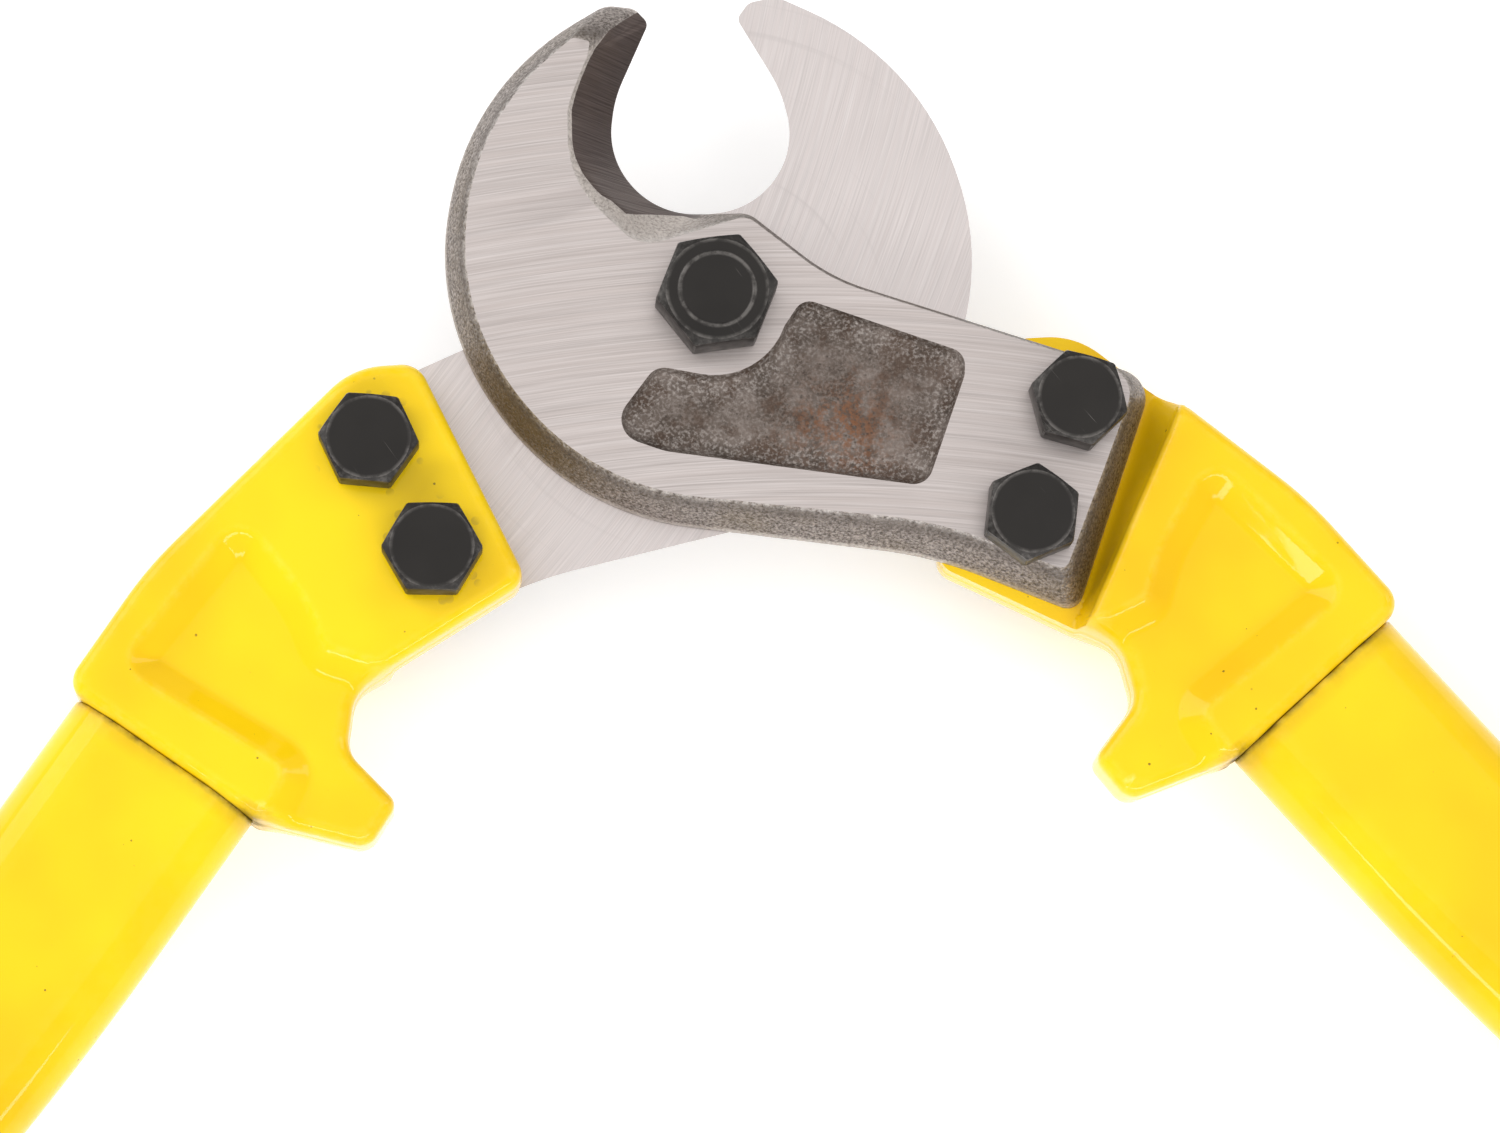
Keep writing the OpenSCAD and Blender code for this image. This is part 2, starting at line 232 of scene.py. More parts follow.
def blendColour(tree, factor, a, b):
    return addNode(tree, "ShaderNodeMix", {0: factor, 6: a, 7: b}, data_type="RGBA").outputs[2]


def times(factor, colour):
    return tuple(factor * c for c in colour)


# fine arcs left by a grinding wheel whose centre lies beside the part
def grindLinesGroup():
    tree, given, result = startGroup("grindLines", {
        "Centre": (0.0, 0.0, 0.0), "Across": 3000.0, "Along": 12.0}, ("Lines", "Streaks"))
    away = addNode(tree, "ShaderNodeVectorMath", {0: given["Coordinates"], 1: given["Centre"]},
                   operation="SUBTRACT")
    x, y, z = addNode(tree, "ShaderNodeSeparateXYZ", {0: away.outputs[0]}).outputs
    radius = mathNode(tree, "SQRT", mathNode(tree, "ADD", product(tree, x, x), product(tree, y, y)))
    angle = mathNode(tree, "ARCTAN2", y, x)
    for output, share, detail in (("Lines", 1.0, 3.0), ("Streaks", 0.24, 4.0)):
        spot = addNode(tree, "ShaderNodeCombineXYZ", {
            "X": product(tree, angle, product(tree, given["Along"], share)),
            "Y": product(tree, radius, product(tree, given["Across"], share)),
            "Z": product(tree, z, 60.0)})
        feed(result[output], noiseNode(tree, spot.outputs[0], 1.0, detail, 0.6))
    return tree


# grain and pits of a forged or cast skin
def castSkinGroup():
    tree, given, result = startGroup("castSkin", {"Grain Size": 1600.0, "Pit Size": 700.0},
                                     ("Grain", "Pits", "Cloud"))
    place, size = given["Coordinates"], given["Grain Size"]
    cells = addNode(tree, "ShaderNodeTexVoronoi", {"Vector": place, "Scale": given["Pit Size"],
                                                   "Randomness": 1.0})
    feed(result["Grain"], noiseNode(tree, place, size, 4.0, 0.65))
    feed(result["Pits"], spread(tree, cells.outputs["Distance"], 0.1, 0.5))
    feed(result["Cloud"], noiseNode(tree, place, product(tree, size, 0.12), 3.0, 0.6))
    return tree


# outer edges broken up by noise, used for bare worn edges and for a painted highlight, and hollows,
# used for painted shade
def edgeWearAndShadingGroup():
    tree, given, result = startGroup("edgeWearAndShading", {"Reach": 0.04, "Break Up": 900.0},
                                     ("Edge", "Painted Hollow Shade"))
    point = addNode(tree, "ShaderNodeNewGeometry").outputs["Pointiness"]
    noise = noiseNode(tree, given["Coordinates"], given["Break Up"], 3.0, 0.7)
    rise, dip = (mathNode(tree, "DIVIDE", mathNode(tree, "SUBTRACT", *pair), given["Reach"], True)
                 for pair in ((point, 0.505), (0.495, point)))
    feed(result["Edge"], product(tree, rise, spread(tree, noise, 0.38, 0.62), True))
    feed(result["Painted Hollow Shade"], dip)
    return tree


# small dark specks and dust
def specksGroup():
    tree, given, result = startGroup("specks", {"Spacing": 260.0, "Size": 0.12}, ("Speck",))
    cells = addNode(tree, "ShaderNodeTexVoronoi", {
        "Vector": given["Coordinates"], "Scale": given["Spacing"], "Randomness": 1.0})
    pick = addNode(tree, "ShaderNodeTexWhiteNoise", {"Vector": cells.outputs["Position"]},
                   noise_dimensions="3D")
    limit = product(tree, given["Size"], spread(tree, pick.outputs["Value"], 0.55, 1.0))
    feed(result["Speck"], mathNode(tree, "LESS_THAN", cells.outputs["Distance"], limit))
    return tree


grindLines = grindLinesGroup()
castSkin = castSkinGroup()
edgeWearAndShading = edgeWearAndShadingGroup()
specks = specksGroup()


# a material in the making: its tree, its Principled shader, its tone so far
class recipe:
    def __init__(self, name, metallic, tone, **shader):
        self.material = bpy.data.materials.new(name)
        self.material.use_nodes = True
        self.tree = self.material.node_tree
        self.tree.nodes.clear()
        self.surface = addNode(self.tree, "ShaderNodeBsdfPrincipled",
                               {"Metallic": metallic, **shader})
        addNode(self.tree, "ShaderNodeOutputMaterial", {0: self.surface.outputs[0]})
        self.place = addNode(self.tree, "ShaderNodeTexCoord").outputs["Object"]
        self.tone = tone

    # a group on the piece's own coordinates; grainSize=... sets its input Grain Size
    def on(self, group, **values):
        node = self.tree.nodes.new("ShaderNodeGroup")
        node.node_tree = group
        feed(node.inputs["Coordinates"], self.place)
        for key, value in values.items():
            label = "".join(" " + c if c.isupper() else c for c in key).title()
            feed(node.inputs[label], value)
        return node.outputs

    # value stored on the mesh's points
    def painted(self, name):
        return addNode(self.tree, "ShaderNodeAttribute", attribute_name=name).outputs["Fac"]

    def blend(self, factor, colour):
        self.tone = blendColour(self.tree, factor, self.tone, colour)

    # lays a colour over the tone by how far a value lies from low to high, inside a mask
    def lay(self, colour, value, low, high, least=0.0, most=1.0, mask=None):
        share = self.spread(value, low, high, least, most)
        self.blend(self.product(mask, share) if mask else share, colour)

    def spread(self, *values):
        return spread(self.tree, *values)

    def product(self, *values):
        return product(self.tree, *values)

    # joins the shader up; bumps are (height, strength, distance in m), lowest first
    def end(self, roughness, *bumps):
        feed(self.surface.inputs["Base Color"], self.tone)
        if roughness:
            feed(self.surface.inputs["Roughness"], self.spread(*roughness))
        normal = self.surface.inputs["Normal"]
        for height, strength, distance in bumps:
            node = addNode(self.tree, "ShaderNodeBump", {"Height": height, "Strength": strength,
                                                         "Distance": distance})
            for link in normal.links:
                feed(node.inputs["Normal"], link.from_socket)
            feed(normal, node.outputs[0])
        return self.material


# ground steel face, with arcs round the wheel's centre
def finishMachinedSteel(name, centre, colour, dark, warm, rubbed=0.0):
    paint = recipe(name, 0.85, dark)
    lines = paint.on(grindLines, centre=centre, across=5200.0, along=11.0)
    skin = paint.on(castSkin, grainSize=260.0, pitSize=180.0)
    marks = paint.on(specks, spacing=95.0, size=0.03)
    paint.lay(colour, lines["Lines"], 0.3, 0.7)
    paint.lay(warm, lines["Streaks"], 0.4, 0.68, 0.0, 0.55)
    paint.lay(dark, skin["Cloud"], 0.5, 0.75, 0.0, 0.25)
    if rubbed:
        # arcs worn by the other jaw as it swings round the pivot
        swing = paint.on(grindLines, centre=(0, 0, 0), across=1500.0, along=1.2)
        paint.lay(dark, swing["Streaks"], 0.6, 0.7, 0.0, rubbed)
    paint.blend(paint.product(marks["Speck"], 0.7), (0.1, 0.09, 0.08))
    return paint.end((lines["Lines"], 0.25, 0.75, 0.5, 0.38),
                     (lines["Streaks"], 0.1, 0.0001), (lines["Lines"], 0.2, 0.00004))


# rough forged side: a lighter smooth flash line low down, olive scale in places, painted shade
# along the top
def finishForgedSkin(name, base, light, olive):
    paint = recipe(name, 0.7, base)
    skin = paint.on(castSkin, grainSize=2200.0, pitSize=1400.0)
    patches = paint.on(castSkin, grainSize=420.0, pitSize=300.0)
    worn = paint.on(edgeWearAndShading, reach=0.05, breakUp=1200.0)
    paint.lay(light, skin["Grain"], 0.38, 0.64)
    paint.lay(olive, patches["Cloud"], 0.5, 0.66, 0.0, 0.25)
    paint.lay(olive, skin["Grain"], 0.66, 0.4, 0.5, 1.0, paint.painted("oil"))
    # painted shade: a darker band along the top of the forged side, next to the face
    paint.lay(base, skin["Cloud"], 0.3, 0.6, 0.35, 0.8, paint.painted("paintedShade"))
    paint.lay((0.03, 0.025, 0.02), skin["Pits"], 0.0, 0.5, 0.55, 0.0)
    paint.lay((0.55, 0.495, 0.455), skin["Grain"], 0.3, 0.6, 0.45, 0.9, paint.painted("flashAndHighlight"))
    paint.blend(paint.product(worn["Edge"], 0.6), (0.66, 0.62, 0.59))
    return paint.end((skin["Grain"], 0.3, 0.7, 0.62, 0.42),
                     (skin["Cloud"], 0.35, 0.0006), (skin["Pits"], 0.45, 0.00022),
                     (skin["Grain"], 0.5, 0.00022))


# dark ground bevel of the cutting edge, with fine lines square to the edge
def finishGroundBevel(name):
    paint = recipe(name, 0.8, (0.045, 0.031, 0.028))
    lines = paint.on(grindLines, centre=(-0.12, -0.66, 0), across=3800.0, along=60.0)
    skin = paint.on(castSkin, grainSize=500.0, pitSize=400.0)
    paint.lay((0.125, 0.098, 0.09), lines["Lines"], 0.3, 0.7)
    paint.lay((0.1, 0.07, 0.055), skin["Cloud"], 0.4, 0.7, 0.0, 0.5)
    return paint.end((lines["Lines"], 0.3, 0.7, 0.46, 0.32), (lines["Lines"], 0.45, 0.0001))


# forged pocket floor: dark brown scale, rust in one place, a painted highlight of light grains near
# the rim
def finishPocket(name):
    paint = recipe(name, 0.5, (0.075, 0.055, 0.043))
    skin = paint.on(castSkin, grainSize=2000.0, pitSize=1100.0)
    patches = paint.on(castSkin, grainSize=1500.0, pitSize=300.0)
    paint.lay((0.18, 0.145, 0.125), patches["Cloud"], 0.36, 0.64)
    paint.lay((0.3, 0.255, 0.23), skin["Grain"], 0.45, 0.7, 0.0, 0.55)
    paint.lay((0.075, 0.045, 0.03), skin["Cloud"], 0.5, 0.62, 0.0, 0.7)
    rusty = paint.product(paint.spread(patches["Grain"], 0.42, 0.58, 0.0, 0.9),
                          paint.spread(skin["Cloud"], 0.36, 0.56, 0.2, 1.0))
    paint.blend(paint.product(paint.painted("rust"), rusty), (0.21, 0.085, 0.035))
    # painted highlight: lighter grains on the pocket's walls and on its floor near the rim
    paint.lay((0.5, 0.46, 0.43), skin["Grain"], 0.5, 0.62, 0.0, 0.6, paint.painted("flashAndHighlight"))
    paint.lay((0.035, 0.026, 0.02), skin["Pits"], 0.0, 0.4, 0.5, 0.0)
    return paint.end((skin["Grain"], 0.3, 0.7, 0.7, 0.46),
                     (patches["Cloud"], 0.5, 0.0008), (skin["Pits"], 0.4, 0.0002),
                     (skin["Grain"], 0.5, 0.00022))


# gloss enamel over a casting, with specks, chips at the edges, grime in the joints, painted shade
# in the hollows and a painted highlight along the outer edges
def finishYellowEnamel(name, colour, deep):
    paint = recipe(name, 0.0, colour, **{
        "Coat Roughness": 0.04, "Coat IOR": 1.28, "Roughness": 0.4, "Specular IOR Level": 0.05})
    skin = paint.on(castSkin, grainSize=190.0, pitSize=420.0)
    dust = paint.on(specks, spacing=640.0, size=0.15)
    worn = paint.on(edgeWearAndShading, reach=0.12, breakUp=420.0)
    paint.lay(deep, skin["Cloud"], 0.35, 0.7)
    dusty = paint.product(dust["Speck"], paint.spread(skin["Grain"], 0.53, 0.6))
    paint.blend(paint.product(dusty, 0.8), (0.12, 0.075, 0.01))
    chips = paint.product(paint.painted("chips"), paint.spread(skin["Pits"], 0.55, 0.4), True)
    paint.blend(chips, (0.1, 0.08, 0.06))
    soiled = paint.product(paint.painted("grime"),
                           paint.spread(skin["Grain"], 0.35, 0.6, 0.35, 1.0))
    paint.blend(soiled, (0.07, 0.045, 0.012))
    # painted shade: deeper yellow in the hollows
    paint.blend(paint.product(worn["Painted Hollow Shade"], 0.6), deep)
    # painted highlight: paler yellow along the outer edges
    paint.blend(paint.product(worn["Edge"], 0.5), (1.0, 0.86, 0.28))
    bare = mathNode(paint.tree, "MAXIMUM", chips, soiled, True)
    feed(paint.surface.inputs["Coat Weight"], mathNode(paint.tree, "SUBTRACT", 1.0, bare, True))
    return paint.end(None, (skin["Cloud"], 0.3, 0.0009), (skin["Grain"], 0.1, 0.0004))


# blackened fastener steel with rubbed edges and light scratches
def finishBlackOxide(name, colour, worn):
    paint = recipe(name, 0.5, colour, **{"Specular IOR Level": 0.3})
    skin = paint.on(castSkin, grainSize=420.0, pitSize=500.0)
    scratches = paint.on(grindLines, centre=(0.5, 0.32, 0), across=2600.0, along=45.0)
    edges = paint.on(edgeWearAndShading, reach=0.05, breakUp=1400.0)
    paint.lay(times(1.35, colour), skin["Cloud"], 0.35, 0.7)
    paint.lay(worn, scratches["Lines"], 0.7, 0.76, 0.0, 0.5)
    rub = mathNode(paint.tree, "MAXIMUM", paint.product(edges["Edge"], 0.35),
                   paint.painted("rubbed"))
    paint.lay(worn, skin["Grain"], 0.42, 0.6, 0.15, 0.75, rub)
    return paint.end((skin["Cloud"], 0.3, 0.7, 0.42, 0.35),
                     (skin["Cloud"], 0.12, 0.0003), (scratches["Lines"], 0.08, 0.00004))


# bright plated steel, faintly brushed
def finishPlating(name, colour):
    paint = recipe(name, 0.9, colour)
    skin = paint.on(castSkin, grainSize=700.0, pitSize=300.0)
    lines = paint.on(grindLines, centre=(0.4, -0.3, 0), across=2200.0, along=60.0)
    paint.lay(times(0.6, colour), skin["Cloud"], 0.3, 0.7)
    return paint.end((skin["Grain"], 0.3, 0.7, 0.42, 0.24), (lines["Lines"], 0.2, 0.00005))


# matt moulded rubber or nylon
def finishMoulded(name, colour, roughLow, roughHigh, grain):
    paint = recipe(name, 0.0, colour)
    skin = paint.on(castSkin, grainSize=grain, pitSize=grain * 0.7)
    paint.lay(times(1.6, colour), skin["Cloud"], 0.3, 0.7)
    paint.lay(times(3.0, colour), skin["Grain"], 0.6, 0.75, 0.0, 0.3)
    return paint.end((skin["Grain"], 0.3, 0.7, roughLow, roughHigh),
                     (skin["Pits"], 0.3, 0.00015), (skin["Grain"], 0.35, 0.0001))


steelFace = finishMachinedSteel("brushedJawFace", (-0.002, -0.27, 0), (0.61, 0.555, 0.537),
                                (0.4, 0.355, 0.337), (0.52, 0.455, 0.43))
steelSlide = finishMachinedSteel("groundSlidingFace", (-0.165, 0.094, 0), (0.665, 0.612, 0.598),
                                 (0.52, 0.475, 0.462), (0.62, 0.552, 0.534), 0.5)
forgedSkin = finishForgedSkin("forgedSkin", (0.095, 0.077, 0.066), (0.36, 0.315, 0.288),
                              (0.15, 0.105, 0.04))
groundBevel = finishGroundBevel("groundBevel")
pocketScale = finishPocket("pocketScale")
enamel = finishYellowEnamel("yellowEnamel", (0.93, 0.64, 0.004), (0.82, 0.485, 0.002))
blackOxide = finishBlackOxide("blackOxide", (0.0185, 0.0165, 0.015), (0.26, 0.24, 0.225))
plating = finishPlating("zincPlating", (0.62, 0.61, 0.58))
nylon = finishMoulded("nylonRing", (0.03, 0.09, 0.3), 0.5, 0.4, 900.0)
rubber = finishMoulded("gripRubber", (0.018, 0.018, 0.019), 0.75, 0.55, 1400.0)
print("made the materials")


def storeOnPoints(piece, name, values):
    layer = piece.data.attributes.new(name, "FLOAT", "POINT")
    layer.data.foreach_set("value", np.array(values, np.float32))


# smooth closed wobble between -1 and 1
def ragged(count, seed, waves=(3, 7, 13, 29, 53, 97)):
    source = np.random.default_rng(seed)
    t = np.linspace(0, 2 * math.pi, count, endpoint=False)
    total = sum(source.uniform(0.5, 1) * np.sin(w * t + source.uniform(0, 7)) / w ** 0.35
                for w in waves)
    return total / np.abs(total).max()


# quads between two closed rings of n points
def bandFaces(first, second, n):
    return [(first + i, first + (i + 1) % n, second + (i + 1) % n, second + i) for i in range(n)]


# faces of a closed skin through rings of n points each
def stackFaces(count, n):
    faces = [f for j in range(count - 1) for f in bandFaces(j * n, (j + 1) * n, n)]
    return faces + [tuple(reversed(range(n))), tuple(range((count - 1) * n, count * n))]


jaw = {
    "thick": 8.0,
    "gap": 0.05,
    "hookCentre": (6.8, 5.6),
    "hookEnd": 225,
    "pocketDepth": 1.6,
    # depth and inset of the rings down the pocket's wall
    "pocketWall": [(0.18, 0.1), (0.7, 0.35), (1.2, 0.62), (1.5, 0.95), (1.6, 1.3)],
    "floorGrid": 0.9,
    "floorSwell": 0.07,
    "rimLight": (1.1, 2.2, 0.1, 0.55),  # strength, reach, cut and limit of the grains by the rim
    "rough": (0.012, 0.06),             # unevenness of the forged side, across and in height
    "fadeIn": 0.15,           # way along the throat in which the ground bevel begins
    "throat": (9.0, 13.0),    # corners between which the edge is ground, counted round the outline
    # way across the side and height, for a forged side and for the ground throat
    "forgedSide": [(0, 0.05), (0.012, 0.45), (0.035, 0.95), (0.1, 1.6), (0.26, 3.1), (0.43, 4.5),
                   (0.59, 5.75), (0.73, 6.7), (0.87, 7.45), (1, 8)],
    "groundBands": 6,         # how many of the bands are ground, counted from the edge
    "groundTop": 7.2,         # height that the ground bevel reaches
    # share of the side that is ground, by way along the throat
    "groundShare": ([0, 0.08, 0.14, 0.2, 0.26, 0.32, 0.4, 0.55, 0.9, 1],
                    [0.01, 0.03, 0.07, 0.15, 0.3, 0.5, 0.76, 0.9, 0.93, 0.86]),
    "oilAt": (-35.0, 3.0, 13.0),        # place and reach of the oily patch
    "rustAt": {"right": (2.0, -27.0, 7.0), "left": (-14.0, -16.0, 7.0)},
}


def hookBack(radius, start):
    step = (jaw["hookEnd"] - start) / 3
    cx, cy = jaw["hookCentre"]
    reach = radius / math.cos(math.radians(step / 2))
    angles = [math.radians(start + step * (i + 0.5)) for i in range(3)]
    return [(cx + reach * math.cos(a), cy + reach * math.sin(a), 0.97 * radius) for a in angles]


jaw["base"] = [(20.4, 43.6, 2.2), (17.3, 46.7, 4)] + hookBack(42, 82) + [
    (1.6, -49.9, 60), (13, -70.2, 2.5), (44.9, -50.2, 4.5), (17, -7.6, 30), (13.6, 8, 4),
    (2.6, 16.8, 12.416), (2.6, 28.2, 12.416), (9.2, 34.6, 20), (20.6, 40.5, 1.4)]
jaw["face"] = [(10.4, 42.3, 0.6), (8.8, 44.4, 1)] + hookBack(39, 93) + [
    (4.6, -47.2, 60), (14.4, -64.6, 1.4), (41.6, -48.9, 4), (15.2, -8.6, 30), (11.7, 6.8, 3),
    (-3.8, 13, 6), (-5.8, 27.6, 16), (1.4, 36.8, 12), (8.8, 41, 0.8)]
jaw["pocket"] = [(-25.4, -5.4, 3.6), (-20.6, -13.2, 12), (6.4, -41.8, 3), (21.6, -32.4, 4),
                 (23.8, -29.8, 2.6), (10.2, -8.2, 2.5), (5.4, -9.7, 1.4), (-2.9, -14.7, 11.2),
                 (-13.4, -2.4, 3)]


def makeJaw(name, side, node):
    base, runs, owner = roundedOutline(jaw["base"], 14, None, 1.0)
    face, _, _ = roundedOutline(jaw["face"], 14, runs)
    n = len(base)
    # way along the throat, 0 by the pivot and 1 at the tip
    inThroat = (owner > jaw["throat"][0]) & (owner < jaw["throat"][1] + 0.01)
    steps = np.linalg.norm(np.roll(base, -1, 0) - base, axis=1) * inThroat
    way = np.where(inThroat, (np.cumsum(steps) - steps) / steps.sum(), 0)
    fade = np.clip(way / jaw["fadeIn"], 0, 1) * np.clip((1.02 - way) / 0.05, 0, 1)
    ground = np.where(inThroat, fade, 0)
    roughAcross, roughHigh = jaw["rough"]
    rough, chip = ragged(n, 5), ragged(n, 9)
    verts, flashAndHighlight, paintedShade, rings = [], [], [], []
    share = np.interp(way, *jaw["groundShare"]) + 0.015 * (rough + chip) * ground
    bands = jaw["groundBands"]
    for j, (ta, za) in enumerate(jaw["forgedSide"]):
        climb = min(j / bands, 1)
        rest = max(j - bands, 0) / (len(jaw["forgedSide"]) - 1 - bands)
        tb = share * climb + (1 - share) * rest
        top = jaw["groundTop"] * np.clip(share * 1.3, 0, 1)
        zb = jaw["gap"] + (top - jaw["gap"]) * climb + (jaw["thick"] - top) * rest
        t = ta * (1 - ground) + tb * ground
        z = za * (1 - ground) + zb * ground
        if 1 < j < 9:
            t = t + roughAcross * (1 - ground) * (rough if j % 2 else chip)
            z = z + roughHigh * chip * (1 - ground)
        if j == 9:
            t = t + roughAcross * rough
        across = base + (face - base) * t[:, None]
        rings.append(len(verts))
        verts += [(p[0], p[1], h) for p, h in zip(across, z)]
        flashAndHighlight += list((1 - ground) * (0.8 if j in (1, 2) else 0) + ground * (j >= bands))
        # painted shade on the top rows of the forged side
        paintedShade += list((1 - ground) * (0.9 if 6 < j < 9 else 0.3 if j == 6 else 0))
    faces, kinds = [], []
    for j in range(len(rings) - 1):
        faces += bandFaces(rings[j], rings[j + 1], n)
        kinds += [2 if j < bands and g > 0.5 else 1 for g in ground]

    def addCap(loopFirst, loopCount, tris, flat, height, kind, flip):
        # the loop's own points come first in the triangulation
        known = {i: loopFirst + i for i in range(loopCount)}
        for i in range(loopCount, len(flat)):
            known[i] = len(verts)
            verts.append((flat[i][0], flat[i][1], height(flat[i])))
            flashAndHighlight.append(0)
        for t in tris:
            t = [known[int(i)] for i in t]
            faces.append(t[::-1] if flip else t)
            kinds.append(kind)

    flat, tris = triangulate([], [base])
    addCap(rings[0], n, tris, flat, lambda p: jaw["gap"], 3, True)

    # face with the pocket left open, then the pocket's wall and floor
    pocket, _, _ = roundedOutline(jaw["pocket"], 10, None, 1.0)
    m = len(pocket)
    top = np.array([v[:2] for v in verts[rings[-1]:rings[-1] + n]])
    flat, tris = triangulate([], [top, pocket], [pocket])
    lip = len(verts)
    verts += [(p[0], p[1], jaw["thick"]) for p in pocket]
    flashAndHighlight += [0.8] * m
    known = list(range(rings[-1], rings[-1] + n)) + list(range(lip, lip + m))
    for t in tris:
        faces.append([known[int(i)] for i in t])
        kinds.append(0)
    normals = inwardNormals(pocket)
    wobble = ragged(m, 21)
    ring = lip
    for depth, shift in jaw["pocketWall"]:
        inner = pocket + normals * (shift + 0.08 * wobble[:, None])
        start = len(verts)
        verts += [(p[0], p[1], jaw["thick"] - depth) for p in inner]
        # painted highlight: lighter grains all down the pocket's wall
        flashAndHighlight += [0.55] * m
        faces += bandFaces(ring, start, m)
        kinds += [4] * m
        ring = start
    floorLoop = np.array([v[:2] for v in verts[ring:ring + m]])
    step = jaw["floorGrid"]
    gx, gy = np.meshgrid(np.arange(-28, 28, step), np.arange(-46, 0, step))
    grid = np.stack([gx.ravel(), gy.ravel()], 1)
    grid = grid[insideLoop(grid, floorLoop)]
    grid = grid[distanceTo(grid, floorLoop) > 0.6]
    flat, tris = triangulate(grid, [floorLoop])

    # painted highlight on the pocket floor, strongest by its rim
    strength, reach, less, most = jaw["rimLight"]
    nearRim = np.clip(strength * np.exp(-distanceTo(flat, floorLoop) / reach) - less, 0, most)

    def floorHeight(p):
        swell = math.sin(p[0] * 0.9 + 1.3 * math.sin(p[1] * 0.5)) * math.sin(p[1] * 1.1 + 0.7)
        return jaw["thick"] - jaw["pocketDepth"] + jaw["floorSwell"] * swell
    first = len(flashAndHighlight)
    addCap(ring, m, tris, flat, floorHeight, 4, False)
    flashAndHighlight[first:] = list(nearRim[m:])

    piece = makePiece(name, toRest(verts, side), faces,
                      [steelFace, forgedSkin, groundBevel, steelSlide, pocketScale], 28, kinds)
    storeOnPoints(piece, "flashAndHighlight", flashAndHighlight)
    storeOnPoints(piece, "paintedShade", paintedShade + [0] * (len(verts) - len(paintedShade)))
    place = np.array([v[:2] for v in verts])
    for label, (x, y, reach) in (("oil", jaw["oilAt"]), ("rust", jaw["rustAt"][side])):
        away = np.linalg.norm(place - (x, y), axis=1)
        storeOnPoints(piece, label, np.exp(-(away / reach) ** 2))
    finishPiece(piece, side, "forged_steel", node)


makeJaw("frontJaw", "right", "front_jaw")
makeJaw("rearJaw", "left", "rear_jaw")
print("made the jaws")


head = {
    "pad": 9.0,
    "web": 5.8,
    "rimRound": 2.1,
    "wallWidth": 4.7,
    "wallSoft": 0.15,         # share of the wall's width that each fillet takes
    "seatGap": 0.05,
    "seatRound": 1.3,
    "grid": 0.62,             # spacing of the points inside the outline
    "edgeRings": (0.1, 0.3, 0.65, 1.1, 1.6, 2.1),
    "seatRows": (-0.02, 0.02, 0.25, 0.55, 0.9, 1.3),
    "sideRings": (0.0, 0.3, 0.44, 0.5, 0.56, 0.7, 1.0),
    "wave": 0.05,
    "soiling": (1.6, 0.35, 0.3),        # reach at the ends, strength and reach at the collar
    "outline": [(1.2, -51, 3), (14.2, -78.2, 6), (10.6, -86.2, 5), (0.1, -88.8, 2), (0.1, -96.7, 3),
                (16.6, -102.06, 2), (50.5, -100.4, 3.5), (49.7, -79, 60), (44, -54, 60),
                (40.2, -37.5, 12), (32.3, -31.8, 4)],
    "recess": [(43.2, -91.6, 2), (40.6, -67.8, 2), (28.3, -72.4, 20), (21.2, -77.4, 4),
               (14, -75.6, 3), (4, -71, 1), (-8, -80, 1), (-8, -106, 1), (13.2, -106, 1),
               (14.6, -91.4, 4)],
    "seat": ((-10, -83.8), (60, -47.8)),
    "jawEnd": ((13, -70.2), (44.9, -50.2)),
    "filletHigh": 0.72,       # share of the pad's height that the fillet climbs before the step
    "bolts": {"outer": (31.8, -46.2), "inner": (15.3, -55.0)},
    "chips": (7.6, 0.6, 0.3),           # radius, spread and strength round a bolt
    "partingLine": 0.12,
    "soiledEnds": [(16.8, -102.1), (49.8, -100.6)],
}


def roundDrop(distance, radius):
    d = np.clip(radius - distance, 0, radius)
    return radius - np.sqrt(np.maximum(radius ** 2 - d ** 2, 0))


